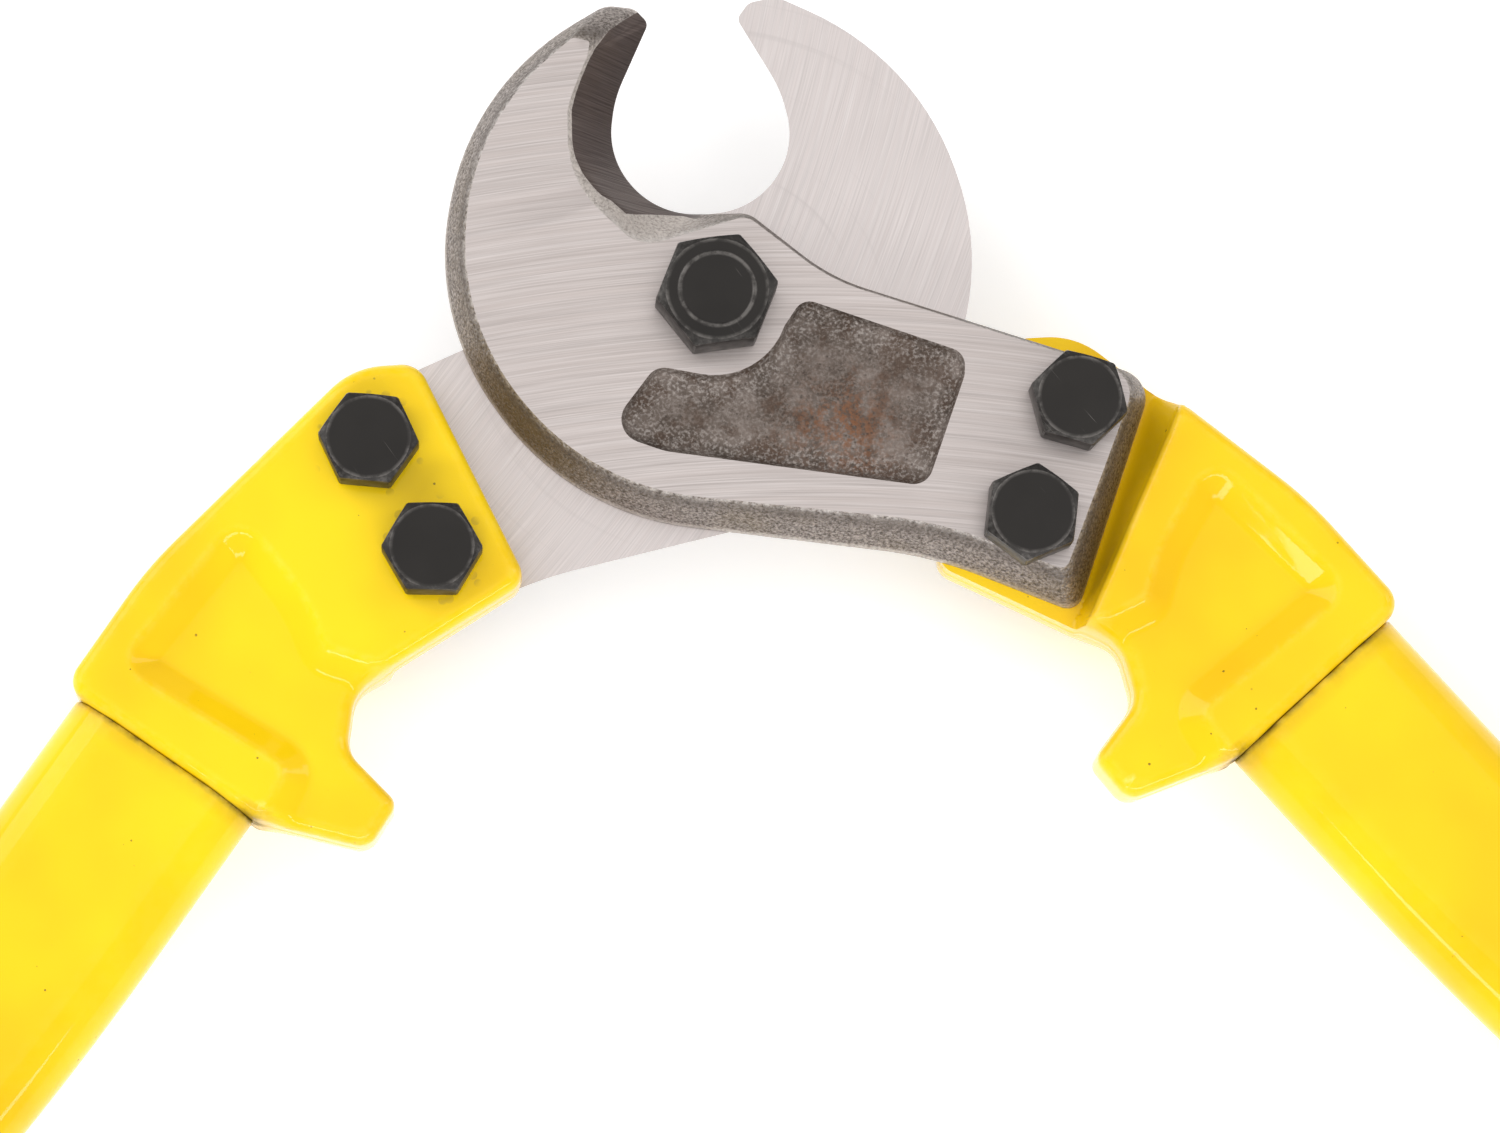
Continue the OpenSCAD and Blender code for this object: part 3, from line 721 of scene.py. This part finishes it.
def makeHead(name, side, node):
    edge, _, _ = roundedOutline(head["outline"], 12, None, 0.8)
    recess, _, _ = roundedOutline(head["recess"], 10, None, 1.5)
    a, b = (np.array(p, float) for p in head["seat"])
    along = (b - a) / np.linalg.norm(b - a)
    toPad = np.array([along[1], -along[0]])       # from the seat towards the handle

    inward = inwardNormals(edge)
    points = [edge + inward * d for d in head["edgeRings"]]
    for d in head["seatRows"]:
        steps = np.arange(0, np.linalg.norm(b - a), 0.6)[:, None]
        points.append(a + steps * along + toPad * d)
    step = head["grid"]
    gx, gy = np.meshgrid(np.arange(-1, 53, step), np.arange(-104, -30, step * 0.87))
    gx[1::2] += step / 2
    grid = np.stack([gx.ravel(), gy.ravel()], 1)
    grid = grid[insideLoop(grid, edge)]
    seatSide = (grid - a) @ toPad
    grid = grid[(distanceTo(grid, edge) > 2.3) & ((seatSide > 1.6) | (seatSide < -0.4))]
    ringPoints = np.concatenate(points)
    ringPoints = ringPoints[insideLoop(ringPoints, edge)]
    ringPoints = ringPoints[distanceTo(ringPoints, edge) > 0.08]
    flat, tris = triangulate(np.concatenate([ringPoints, grid]), [edge])

    rim = distanceTo(flat, edge)
    inRecess = distanceTo(flat, recess) * np.where(insideLoop(flat, recess), 1, -1)
    ramp = np.clip(inRecess / head["wallWidth"] + 0.5, 0, 1)
    soft = head["wallSoft"]
    bend = 2 * soft * (1 - soft)
    straight = (ramp - soft / 2) / (1 - soft)
    upper = np.where(ramp > 1 - soft, 1 - (1 - ramp) ** 2 / bend, straight)
    ramp = np.where(ramp < soft, ramp ** 2 / bend, upper)
    sunk = (head["pad"] - head["web"]) * ramp
    wave = head["wave"] * np.sin(flat[:, 0] * 0.45) * np.sin(flat[:, 1] * 0.37 + 1)
    padTop = head["pad"] - sunk - roundDrop(rim, head["rimRound"]) + np.minimum(wave, 0.0)
    fromSeat = (flat - a) @ toPad
    c, d = (np.array(p, float) for p in head["jawEnd"])
    jawWay = (d - c) / np.linalg.norm(d - c)
    pastJaw = (flat - c) @ np.array([jawWay[1], -jawWay[0]]) - 0.35
    climb = np.clip(pastJaw / np.maximum(pastJaw - fromSeat, 0.3), 0, 1) * (pastJaw > 0)
    ledge = head["seatGap"] + (padTop - head["seatGap"]) * head["filletHigh"] * climb ** 1.6
    front = np.where(fromSeat < 0, np.minimum(ledge, padTop),
                     padTop - roundDrop(fromSeat, head["seatRound"]))
    back = -padTop

    count = len(flat)
    verts = [(p[0], p[1], z) for skin in (front, back) for p, z in zip(flat, skin)]
    faces = [tuple(t) for t in tris] + [tuple(count + i for i in t[::-1]) for t in tris]
    # side wall between the two rims, with the mould's parting line at mid height
    n = len(edge)
    previous = None
    for share in head["sideRings"]:
        if share in (0.0, 1.0):
            ring = [i + (0 if share == 0 else count) for i in range(n)]
        else:
            ring = list(range(len(verts), len(verts) + n))
            # the parting line fades out where the two stops meet
            bulge = (share == 0.5) * head["partingLine"] * np.clip((edge[:, 0] - 0.6) / 2, 0, 1)
            out = edge - inward * bulge[:, None]
            z = front[:n] * (1 - share) + back[:n] * share
            verts += [(p[0], p[1], h) for p, h in zip(out, z)]
        if previous:
            faces += [(ring[i], ring[(i + 1) % n], previous[(i + 1) % n], previous[i])
                      for i in range(n)]
        previous = ring
    place = np.array(verts)
    piece = makePiece(name, toRest(verts, side), faces, [enamel], 50)
    near = np.min([np.linalg.norm(place[:, :2] - c, axis=1) for c in head["bolts"].values()], 0)
    radius, width, strength = head["chips"]
    chips = np.exp(-((near - radius) / width) ** 2) * strength
    endReach, collarStrength, collarReach = head["soiling"]
    ends = sum(np.exp(-np.hypot(place[:, 0] - x, place[:, 1] - y) / endReach)
               for x, y in head["soiledEnds"])
    above = np.maximum(place[:, 1] + 101.9, 0)
    collar = collarStrength * np.exp(-above / collarReach) * (np.abs(place[:, 2]) < 8.7)
    collar = np.clip(collar + ends * (place[:, 1] < -100.2), 0, 1)
    storeOnPoints(piece, "chips", chips)
    storeOnPoints(piece, "grime", collar)
    finishPiece(piece, side, "yellow_paint", node)


makeHead("rightHead", "right", "right_head")
makeHead("leftHead", "left", "left_head")
print("made the heads")


handle = {
    "start": (32.8, -101.27),
    "lean": 2.8,
    # length or radius, angle turned and points of each straight or bend, from the head on
    "runs": [(26.0, 0, 8), (450.0, 6.2, 14), (50.0, 0, 14), (240.0, -9.5, 14), (133.93, 0, 30)],
    "width": 31.6,
    "thick": 16.0,
    # distance from the front and how far the skin stands in there, where it meets the head
    "frontEnd": [(0.0, -0.5), (0.02, -0.3), (0.15, -0.12), (0.4, -0.03), (1.0, 0.0)],
    "grimeReach": 1.3,
}


def pointing(lean):
    return np.array([math.sin(math.radians(lean)), -math.cos(math.radians(lean))])


# stations along the handle: place, lean and length so far
def handlePath():
    rows, length = [], 0.0
    at, lean = np.array(handle["start"]), handle["lean"]
    for size, angle, steps in handle["runs"]:
        arc = math.radians(abs(angle)) * size
        for k in range(steps):
            if angle:
                rows.append((at, lean, length))
                at = at + pointing(lean + angle / steps / 2) * arc / steps
                lean, length = lean + angle / steps, length + arc / steps
            else:
                rows.append((at + pointing(lean) * size * k / steps, lean,
                             length + size * k / steps))
        if not angle:
            at, length = at + pointing(lean) * size, length + size
    rows.append((at, lean, length))
    return rows


stations = handlePath()


# points round the flat-sided oval, as (across, up), anticlockwise seen along the handle
def ovalRing(grow=0.0, steps=28):
    radius = handle["thick"] / 2 + grow
    x = (handle["width"] - handle["thick"]) / 2
    ring = []
    for end, way in ((0, 1), (1, -1)):
        for i in range(steps + 1):
            a = math.pi * end - math.pi / 2 + math.pi * i / steps
            ring.append((way * x + radius * math.cos(a), radius * math.sin(a)))
        ring += [(way * x * (1 - k / 3), way * radius) for k in range(1, 6)]
    return ring


# closed skin through (place, lean, ring) sections, with filled ends
def sweep(sections):
    verts, n = [], len(sections[0][2])
    for at, lean, ring in sections:
        c, s = math.cos(math.radians(lean)), math.sin(math.radians(lean))
        verts += [(at[0] + u * c, at[1] + u * s, w) for u, w in ring]
    faces = stackFaces(len(sections), n)
    return verts, faces[:-2] + [f[::-1] for f in faces[-2:]]


# place and lean at a length along the handle
def stationAt(distance):
    for (p, leanP, sP), (q, leanQ, sQ) in zip(stations, stations[1:]):
        if distance <= sQ or sQ == stations[-1][2]:
            t = (distance - sP) / (sQ - sP)
            return np.array(p) * (1 - t) + np.array(q) * t, leanP * (1 - t) + leanQ * t


def makeTube(name, side, node):
    sections = [(*stationAt(s), ovalRing(grow)) for s, grow in handle["frontEnd"]]
    rest = [row for row in stations if row[2] > 1.5]
    sections += [(p, lean, ovalRing()) for p, lean, s in rest]
    verts, faces = sweep(sections)
    piece = makePiece(name, toRest(verts, side), faces, [enamel], 50)
    lengths = [s for s, grow in handle["frontEnd"]] + [row[2] for row in rest]
    grime = [max(0.0, 1 - s / handle["grimeReach"]) for s in lengths]
    storeOnPoints(piece, "grime", np.repeat(grime, len(sections[0][2])))
    storeOnPoints(piece, "chips", np.zeros(len(verts)))
    finishPiece(piece, side, "yellow_paint", node)


makeTube("rightTube", "right", "right_tube")
makeTube("leftTube", "left", "left_tube")
print("made the tubes")


fastener = {
    "pivot": {"across": 16.0, "headHigh": 6.6, "shank": 10.0, "nutHigh": 8.0, "pitch": 1.5,
              "threaded": 11.5},
    "side": {"across": 13.0, "headHigh": 5.28, "shank": 8.0, "nutHigh": 6.4, "pitch": 1.25,
             "threaded": 11.0},
    "chamferDrop": 0.5774,    # tan 30
    "chamferFrom": 0.475,     # share of the width where the chamfer starts
    "cornerRound": 0.35,
    "shankGap": 0.12,         # how far the bare shank stands inside its hole
    "shankEnd": 0.8,          # chamfer at a shank's end
    "length": 30.0,
    "foot": (0.5, 0.22),      # how far a hexagon's foot is cut in, and how high
    "rimWidth": (0.1, 0.25),  # how far in and how far down the chamfer's rim is softened
    # share of the way up the chamfer, and rub, of the rings on it
    "chamferRings": [(0.12, 0.0), (0.88, 0.0), (0.98, 0.6)],
    # inset, drop and rub of the rings on the flat, then of the raised ring on a head
    "flatRings": [(0.2, 0.0, 0.35), (0.5, 0.0, 0.0)],
    "raisedRings": [(-0.25, 0.12, 0.0), (0.0, 0.0, 0.6), (0.3, 0.0, 0.5), (0.55, 0.14, 0.0)],
    "crownWidth": 0.465,      # share of the width that the nut's crown reaches
    "crownLip": 1.7,          # how far the crown's lip stands outside the bore
    "crownRubbed": [0, 0, 0, 0.5, 0.5, 0, 0],
    "ridge": 0.42,            # thread ridge, and how far its middle lies inside the shank
    "ridgeInside": 0.33,
    "threadFrom": 0.9,
    "rubbedThread": 0.35,
}


# points round a hexagon with softened corners, one corner on +X as in the solid
def hexRing(across, shrink=0.0, perSide=6):
    ring = []
    apothem = across / 2 - shrink
    half = apothem * math.tan(math.radians(30)) - fastener["cornerRound"] * 0.6
    for side in range(6):
        middle = math.radians(60 * side + 30)
        for k in range(perSide + 1):
            t = half * (2 * k / perSide - 1)
            ring.append((apothem * math.cos(middle) - t * math.sin(middle),
                         apothem * math.sin(middle) + t * math.cos(middle)))
    return ring


def toCircle(ring, radius):
    return [(radius * x / math.hypot(x, y), radius * y / math.hypot(x, y)) for x, y in ring]


def atHeight(ring, z):
    return [(x, y, z) for x, y in ring]


# hexagon with a chamfered top, with an optional raised ring; returns verts, faces, rubbed
def hexHead(across, high, ringRadius=0.0, boreRadius=0.0):
    hexagon = hexRing(across)
    start = fastener["chamferFrom"] * across
    flatTop = toCircle(hexagon, start)
    cut = [high - max(0.0, math.hypot(x, y) - start) * fastener["chamferDrop"] for x, y in hexagon]
    n = len(hexagon)
    footIn, footHigh = fastener["foot"]
    rimIn, rimDown = fastener["rimWidth"]
    rings = [(atHeight(hexRing(across, footIn), 0.0), 0.0), (atHeight(hexagon, footHigh), 0.5),
             ([(x, y, c - rimDown) for (x, y), c in zip(hexagon, cut)], 0.15),
             ([(x, y, c) for (x, y), c in zip(hexRing(across, rimIn), cut)], 0.8)]
    for share, rub in fastener["chamferRings"]:
        rings.append(([(a[0] * (1 - share) + b[0] * share, a[1] * (1 - share) + b[1] * share,
                        c * (1 - share) + high * share)
                       for a, b, c in zip(hexagon, flatTop, cut)], rub))
    levels = [(start - inset, drop, rub) for inset, drop, rub in fastener["flatRings"]]
    if ringRadius:
        levels += [(ringRadius - inset, drop, rub) for inset, drop, rub in fastener["raisedRings"]]
    rings += [(atHeight(toCircle(hexagon, radius), high - drop), rub)
              for radius, drop, rub in levels]
    verts = [v for ring, rub in rings for v in ring]
    rubbed = [rub for ring, rub in rings for v in ring]
    if not boreRadius:
        return verts, stackFaces(len(rings), n), rubbed
    faces = stackFaces(len(rings), n)[:-2]
    last = len(verts) - n
    for z in (verts[-1][2], 0.0):
        faces += bandFaces(last, len(verts), n)
        last = len(verts)
        verts += atHeight(toCircle(hexagon, boreRadius), z)
        rubbed += [0.0] * n
    return verts, faces + bandFaces(last, 0, n), rubbed


def shank(radius, top, bottom, steps=42):
    angles = [2 * math.pi * k / steps for k in range(steps)]
    circle = [(radius * math.cos(a), radius * math.sin(a)) for a in angles]
    end = fastener["shankEnd"]
    shrunk = [(x * (radius - end) / radius, y * (radius - end) / radius) for x, y in circle]
    verts = atHeight(shrunk, bottom) + atHeight(circle, bottom + end) + atHeight(circle, top)
    return verts, stackFaces(3, steps)


def moveAndTurn(verts, at, height, turn, flip=1):
    c, s = math.cos(math.radians(turn)), math.sin(math.radians(turn))
    return [(at[0] + x * c - flip * y * s, at[1] + x * s + flip * y * c, height + flip * z)
            for x, y, z in verts]


# where a head bolt's axis stands in the part's frame, in mm
def seatOf(place, side):
    x, y, _ = toRest([(place[0], place[1], 0)], side)[0] / mm
    return float(x), float(y)


def finishFastener(name, side, node, verts, faces, rubbed):
    piece = makePiece(name, np.array(verts) * mm, faces, [blackOxide], 24)
    storeOnPoints(piece, "rubbed", rubbed)
    finishPiece(piece, side, "black_oxide", node)


def makeBolt(name, side, node, size, at, top, turn, ringRadius=0.0):
    data = fastener[size]
    verts, faces, rubbed = hexHead(data["across"], data["headHigh"], ringRadius)
    verts = moveAndTurn(verts, at, top, turn)
    more, moreFaces = shank(data["shank"] / 2 - fastener["shankGap"], 0.0, -fastener["length"])
    faces += [tuple(len(verts) + i for i in f) for f in moreFaces]
    verts += moveAndTurn(more, at, top + 0.01, turn)
    finishFastener(name, side, node, verts, faces, rubbed + [0.0] * len(more))


# faces between two sections of m points carried round an axis
def turnFaces(p, q, m):
    return [(p + j, q + j, q + (j + 1) % m, p + (j + 1) % m) for j in range(m)]


def makeNut(name, side, node, size, at, seat, turn, crown=0.0, steps=48):
    data = fastener[size]
    high = data["nutHigh"]
    verts, faces, rubbed = hexHead(data["across"], high, 0.0, data["shank"] / 2)
    if crown:
        # round crown beyond the hexagon, which holds the locking ring
        outer, inner = data["across"] * fastener["crownWidth"], data["shank"] / 2
        inner += fastener["crownLip"]
        profile = [(outer - 0.4, high - 0.5), (outer, high - 0.1), (outer, high + crown - 0.9),
                   (outer - 0.35, high + crown - 0.25), (outer - 1.0, high + crown),
                   (inner, high + crown), (inner, high - 0.5)]
        first, m = len(verts), len(profile)
        for k in range(steps):
            a = 2 * math.pi * k / steps
            verts += [(r * math.cos(a), r * math.sin(a), z) for r, z in profile]
            rubbed += fastener["crownRubbed"]
            faces += turnFaces(first + k * m, first + (k + 1) % steps * m, m)
    finishFastener(name, side, node, moveAndTurn(verts, at, seat, turn, -1), faces, rubbed)


spring = {"inner": 4.25, "outer": 7.12, "high": 2.0, "steps": 60, "gap": 9.0, "lift": 0.15,
          "rubbed": 0.35, "rubbedAt": (3, 6)}


# split ring whose two ends stand a little apart in height
def makeSpringWasher(name, side, node, at, seat, turn):
    inner, outer, high, steps, gap, rise, rub, rubAt = spring.values()
    section = [(inner, 0.06), (inner + 0.06, 0.0), (outer - 0.2, 0.0), (outer, 0.2), (outer, 1.0),
               (outer, high - 0.35), (outer - 0.2, high - 0.15), (inner + 0.06, high - 0.15),
               (inner, high - 0.21)]
    verts, faces, m = [], [], len(section)
    for k in range(steps + 1):
        a = math.radians(turn + gap / 2 + (360 - gap) * k / steps)
        verts += [(at[0] + r * math.cos(a), at[1] + r * math.sin(a),
                   seat - high + z + rise * k / steps) for r, z in section]
    for k in range(steps):
        faces += turnFaces(k * m, (k + 1) * m, m)
    faces += [tuple(range(m)), tuple(reversed(range(steps * m, (steps + 1) * m)))]
    rubbed = [rub if j in rubAt else 0.0 for k in range(steps + 1) for j in range(m)]
    finishFastener(name, side, node, verts, [f[::-1] for f in faces], rubbed)


# turns of each bolt, nut and washer
turns = {("left", "outer"): (-8.7, 12, 200), ("left", "inner"): (-4.0, 41, 75),
         ("right", "outer"): (40.5, 27, 310), ("right", "inner"): (19.3, 3, 140)}
# a bolt's seat and its washer's seat, on the side's head
seats = {"left": (9.0, -8.0), "right": (8.0, -9.0)}
threadEnds = {"right": [(0.0, 0.0, -22.0, "pivot")], "left": []}
for (side, row), (boltTurn, nutTurn, washerTurn) in turns.items():
    at = seatOf(head["bolts"][row], side)
    top, under = seats[side]
    label, nodes = side + row.capitalize(), f"{side}_{row}_"
    makeBolt(label + "Bolt", side, nodes + "bolt", "side", at, top, boltTurn)
    makeSpringWasher(label + "Washer", side, nodes + "washer", at, under, washerTurn)
    makeNut(label + "Nut", side, nodes + "nut", "side", at, under - spring["high"], nutTurn)
    threadEnds[side].append((*at, top - fastener["length"], "side"))
makeBolt("pivotBolt", "right", "pivot_bolt", "pivot", (0, 0), 8.0, 4.7, 5.7)
makeNut("pivotNut", "right", "pivot_nut", "pivot", (0, 0), -9.6, 0.0, crown=2.4)
print("made the bolts, washers and nuts")


def startNodeTree(name, sockets):
    tree = bpy.data.node_groups.new(name, "GeometryNodeTree")
    addSockets(tree, "INPUT", {"Geometry": "Geometry", **sockets, "Material": "Material"})
    addSockets(tree, "OUTPUT", {"Geometry": "Geometry"})
    return tree, addNode(tree, "NodeGroupInput").outputs


# sets a shape on every point of the mesh that is given, turned if asked, in its material
def endNodeTree(tree, given, shape, turn=None):
    spots = addNode(tree, "GeometryNodeInstanceOnPoints", {
        "Points": given["Geometry"], "Instance": shape, **({"Rotation": turn} if turn else {})})
    solid = addNode(tree, "GeometryNodeRealizeInstances", {"Geometry": spots.outputs[0]})
    dressed = addNode(tree, "GeometryNodeSetMaterial", {"Geometry": solid.outputs[0],
                                                        "Material": given["Material"]})
    addNode(tree, "NodeGroupOutput", {"Geometry": dressed.outputs[0]})
    return tree


# a helical ridge set on every point of the mesh, running up from it
def threadNodes():
    tree, given = startNodeTree("boltThread", {"Radius": 0.004, "Pitch": 0.00125, "Turns": 8.0,
                                               "Ridge": 0.0004})
    spiral = addNode(tree, "GeometryNodeCurveSpiral", {
        "Resolution": 26, "Start Radius": given["Radius"], "End Radius": given["Radius"],
        "Rotations": given["Turns"], "Height": product(tree, given["Turns"], given["Pitch"])})
    profile = addNode(tree, "GeometryNodeCurvePrimitiveCircle", {"Resolution": 3,
                                                                 "Radius": given["Ridge"]})
    ridge = addNode(tree, "GeometryNodeCurveToMesh", {
        "Fill Caps": True, "Curve": spiral.outputs[0], "Profile Curve": profile.outputs["Curve"]})
    return endNodeTree(tree, given, ridge.outputs[0])


# a row of rounded bands round a flat-sided oval sleeve
def ribNodes():
    tree, given = startNodeTree("gripRibs", {
        "Width": 0.0376, "Thickness": 0.022, "Count": 14, "Pitch": 0.0074, "Band Width": 0.0044,
        "Band Height": 0.0009, "Turn": (0.0, 0.0, 0.0)})
    loop = addNode(tree, "GeometryNodeCurvePrimitiveQuadrilateral", {
        "Width": given["Width"], "Height": given["Thickness"]})
    corner = addNode(tree, "GeometryNodeFilletCurve", {
        "Limit Radius": True, "Curve": loop.outputs[0],
        "Radius": product(tree, given["Thickness"], 0.4999)})
    corner.mode = "POLY"
    corner.inputs["Count"].default_value = 18
    band = addNode(tree, "GeometryNodeCurvePrimitiveCircle", {"Resolution": 12, "Radius": 1.0})
    size = addNode(tree, "ShaderNodeCombineXYZ", {
        "X": given["Band Height"], "Y": product(tree, given["Band Width"], 0.5), "Z": 1.0})
    flat = addNode(tree, "GeometryNodeTransform", {"Geometry": band.outputs[0],
                                                   "Scale": size.outputs[0]})
    rib = addNode(tree, "GeometryNodeCurveToMesh", {"Curve": corner.outputs[0],
                                                    "Profile Curve": flat.outputs[0]})
    step = addNode(tree, "ShaderNodeCombineXYZ", {"Z": given["Pitch"]})
    line = addNode(tree, "GeometryNodeMeshLine", {"Count": given["Count"],
                                                  "Offset": step.outputs[0]})
    row = addNode(tree, "GeometryNodeInstanceOnPoints", {"Points": line.outputs[0],
                                                         "Instance": rib.outputs[0]})
    turn = addNode(tree, "FunctionNodeEulerToRotation", {0: given["Turn"]})
    return endNodeTree(tree, given, row.outputs[0], turn.outputs[0])


# runs a tree on a mesh of bare points and returns the result as a plain mesh piece
def growNodes(name, points, tree, values):
    seedMesh = bpy.data.meshes.new(name + "Points")
    seedMesh.from_pydata(points, [], [])
    holder = addObject(name + "Seed", seedMesh)
    modifier = holder.modifiers.new("grow", "NODES")
    modifier.node_group = tree
    for item in tree.interface.items_tree:
        if item.item_type == "SOCKET" and item.in_out == "INPUT" and item.name in values:
            modifier[item.identifier] = values[item.name]
    graph = bpy.context.evaluated_depsgraph_get()
    mesh = bpy.data.meshes.new_from_object(holder.evaluated_get(graph))
    holder.modifiers.remove(modifier)
    bpy.data.objects.remove(holder)
    mesh.name = name
    return addObject(name, mesh)


threadTree = threadNodes()
for side, ends in threadEnds.items():
    for size in ("side", "pivot"):
        data = fastener[size]
        spots = [(x * mm, y * mm, (z + fastener["threadFrom"]) * mm)
                 for x, y, z, kind in ends if kind == size]
        if not spots:
            continue
        piece = growNodes(side + size.capitalize() + "Threads", spots, threadTree, {
            "Radius": (data["shank"] / 2 - fastener["ridgeInside"]) * mm,
            "Pitch": data["pitch"] * mm, "Turns": data["threaded"] / data["pitch"],
            "Ridge": fastener["ridge"] * mm, "Material": blackOxide})
        rubbed = np.full(len(piece.data.vertices), fastener["rubbedThread"])
        storeOnPoints(piece, "rubbed", rubbed)
        finishPiece(piece, side, "black_oxide")
print("grew the threads")


grip = {
    "length": 128.0,
    "pastEnd": 4.0,           # how far the closed end stands beyond the tube
    "ribs": 14,
    "firstRib": 16.2,
    "pitch": 7.43,
    "band": (4.6, 0.9),       # width and height of a rib
    "skin": 2.1,              # how far the sleeve stands outside the tube
    # distance from the front and how far out the skin stands there
    "profile": [(0, -0.8), (0, 4.3), (0.4, 5.0), (1.2, 5.5), (3.6, 5.5), (4.5, 5.1), (5.1, 4.0),
                (5.9, 2.9), (7.2, 2.3), (9, 2.1)],
    "endProfile": [(119, 2.1), (123, 2.15), (125.4, 1.8), (126.8, 0.9), (127.6, -0.5), (128, -2.4)],
}


def makeGrip(name, side, node):
    total, skin = stations[-1][2], grip["skin"]
    front = total + grip["pastEnd"] - grip["length"]
    middle = [(9 + 110 * k / 40, skin) for k in range(1, 40)]
    sections = []
    for s, grow in grip["profile"] + middle + grip["endProfile"]:
        at, lean = stationAt(front + s)
        if front + s > total:
            at, lean, _ = stations[-1]
            at = at + pointing(lean) * (front + s - total)
        sections.append((at, lean, ovalRing(grow)))
    verts, faces = sweep(sections)
    piece = makePiece(name, toRest(verts, side), faces, [rubber], 40)
    finishPiece(piece, side, "grip_rubber", node)

    at, tail = (stationAt(front + grip["firstRib"] + k)[0] for k in (0, 1))
    spot, tail = toRest([(*at, 0), (*tail, 0)], side)
    way = Vector(tail - spot).normalized()
    turn = Matrix((Vector((-way.y, way.x, 0)), Vector((0, 0, 1)), way)).transposed().to_euler()
    ribs = growNodes(name + "Ribs", [tuple(spot)], ribTree, {
        "Width": (handle["width"] + 2 * skin) * mm, "Thickness": (handle["thick"] + 2 * skin) * mm,
        "Count": grip["ribs"], "Pitch": grip["pitch"] * mm, "Band Width": grip["band"][0] * mm,
        "Band Height": grip["band"][1] * mm, "Turn": tuple(turn), "Material": rubber})
    ribs.data.shade_smooth()
    finishPiece(ribs, side, "grip_rubber")


ribTree = ribNodes()
makeGrip("rightGrip", "right", "right_grip")
makeGrip("leftGrip", "left", "left_grip")
print("grew the grips")

# small parts whose solids already have the right shape
keptFinish = {"pivot_washer": plating, "pivot_nut_ring": nylon}
for node, material in keptFinish.items():
    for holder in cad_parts[node].material_slots:
        holder.material = material


shot = {"eye": (-48.55, -168.35, 780.0), "target": (2.86, -39.48, 0.0), "roll": 4.0, "lens": 127.2}


def placeCamera():
    eye, target = Vector(shot["eye"]) * mm, Vector(shot["target"]) * mm
    back = (eye - target).normalized()
    roll = math.radians(shot["roll"])
    right = Vector((math.sin(roll), math.cos(roll), 0)).cross(back).normalized()
    turn = Matrix((right, back.cross(right), back)).transposed().to_4x4()
    camera = addObject("camera", bpy.data.cameras.new("camera"))
    camera.matrix_world = Matrix.Translation(eye) @ turn
    camera.data.lens = shot["lens"]
    camera.data.sensor_width = 36
    camera.data.clip_start = 0.05
    bpy.context.scene.camera = camera


placeCamera()

table = {"colour": (0.93, 0.93, 0.93), "cloud": 0.985, "size": 6.0, "drop": 0.00002, "glow": 0.28}


def makeTable():
    paint = recipe("paleTable", 0.0, table["colour"], **{
        "Roughness": 0.7, "Emission Color": (1, 1, 1, 1), "Emission Strength": table["glow"]})
    skin = paint.on(castSkin, grainSize=90.0, pitSize=60.0)
    paint.blend(skin["Cloud"], times(table["cloud"], table["colour"]))
    half, z = table["size"] / 2, cadBox[0][2] - table["drop"]
    corners = [(-half, -half, z), (half, -half, z), (half, half, z), (-half, half, z)]
    makePiece("table", corners, [(0, 1, 2, 3)], [paint.end(None)])


makeTable()

lights = [
    # name, place, aim, width, height, watts
    ("overhead", (0.0, 0.3, 1.7), (0, -0.05, 0), 2.2, 1.8, 8),
    ("upperLeft", (-1.2, 0.75, 0.85), (0, -0.05, 0), 1.4, 1.2, 13),
    ("rightSide", (1.5, 0.3, 0.9), (0, -0.05, 0), 0.5, 1.0, 4),
    ("nearStrip", (0.0, -1.15, 0.75), (0, -0.1, 0), 2.3, 0.2, 12),
]
skyStrength = 0.62
for name, place, aim, width, height, watts in lights:
    lamp = bpy.data.lights.new(name, "AREA")
    lamp.shape, lamp.size, lamp.size_y, lamp.energy = "RECTANGLE", width, height, watts
    holder = addObject(name, lamp)
    holder.location = place
    holder.rotation_euler = (Vector(aim) - Vector(place)).to_track_quat("-Z", "Y").to_euler()

world = bpy.data.worlds.new("studio")
world.use_nodes = True
world.node_tree.nodes["Background"].inputs[0].default_value = (1, 1, 1, 1)
world.node_tree.nodes["Background"].inputs[1].default_value = skyStrength
bpy.context.scene.world = world
bpy.context.scene.view_settings.view_transform = "Standard"
print("placed the camera and lights")
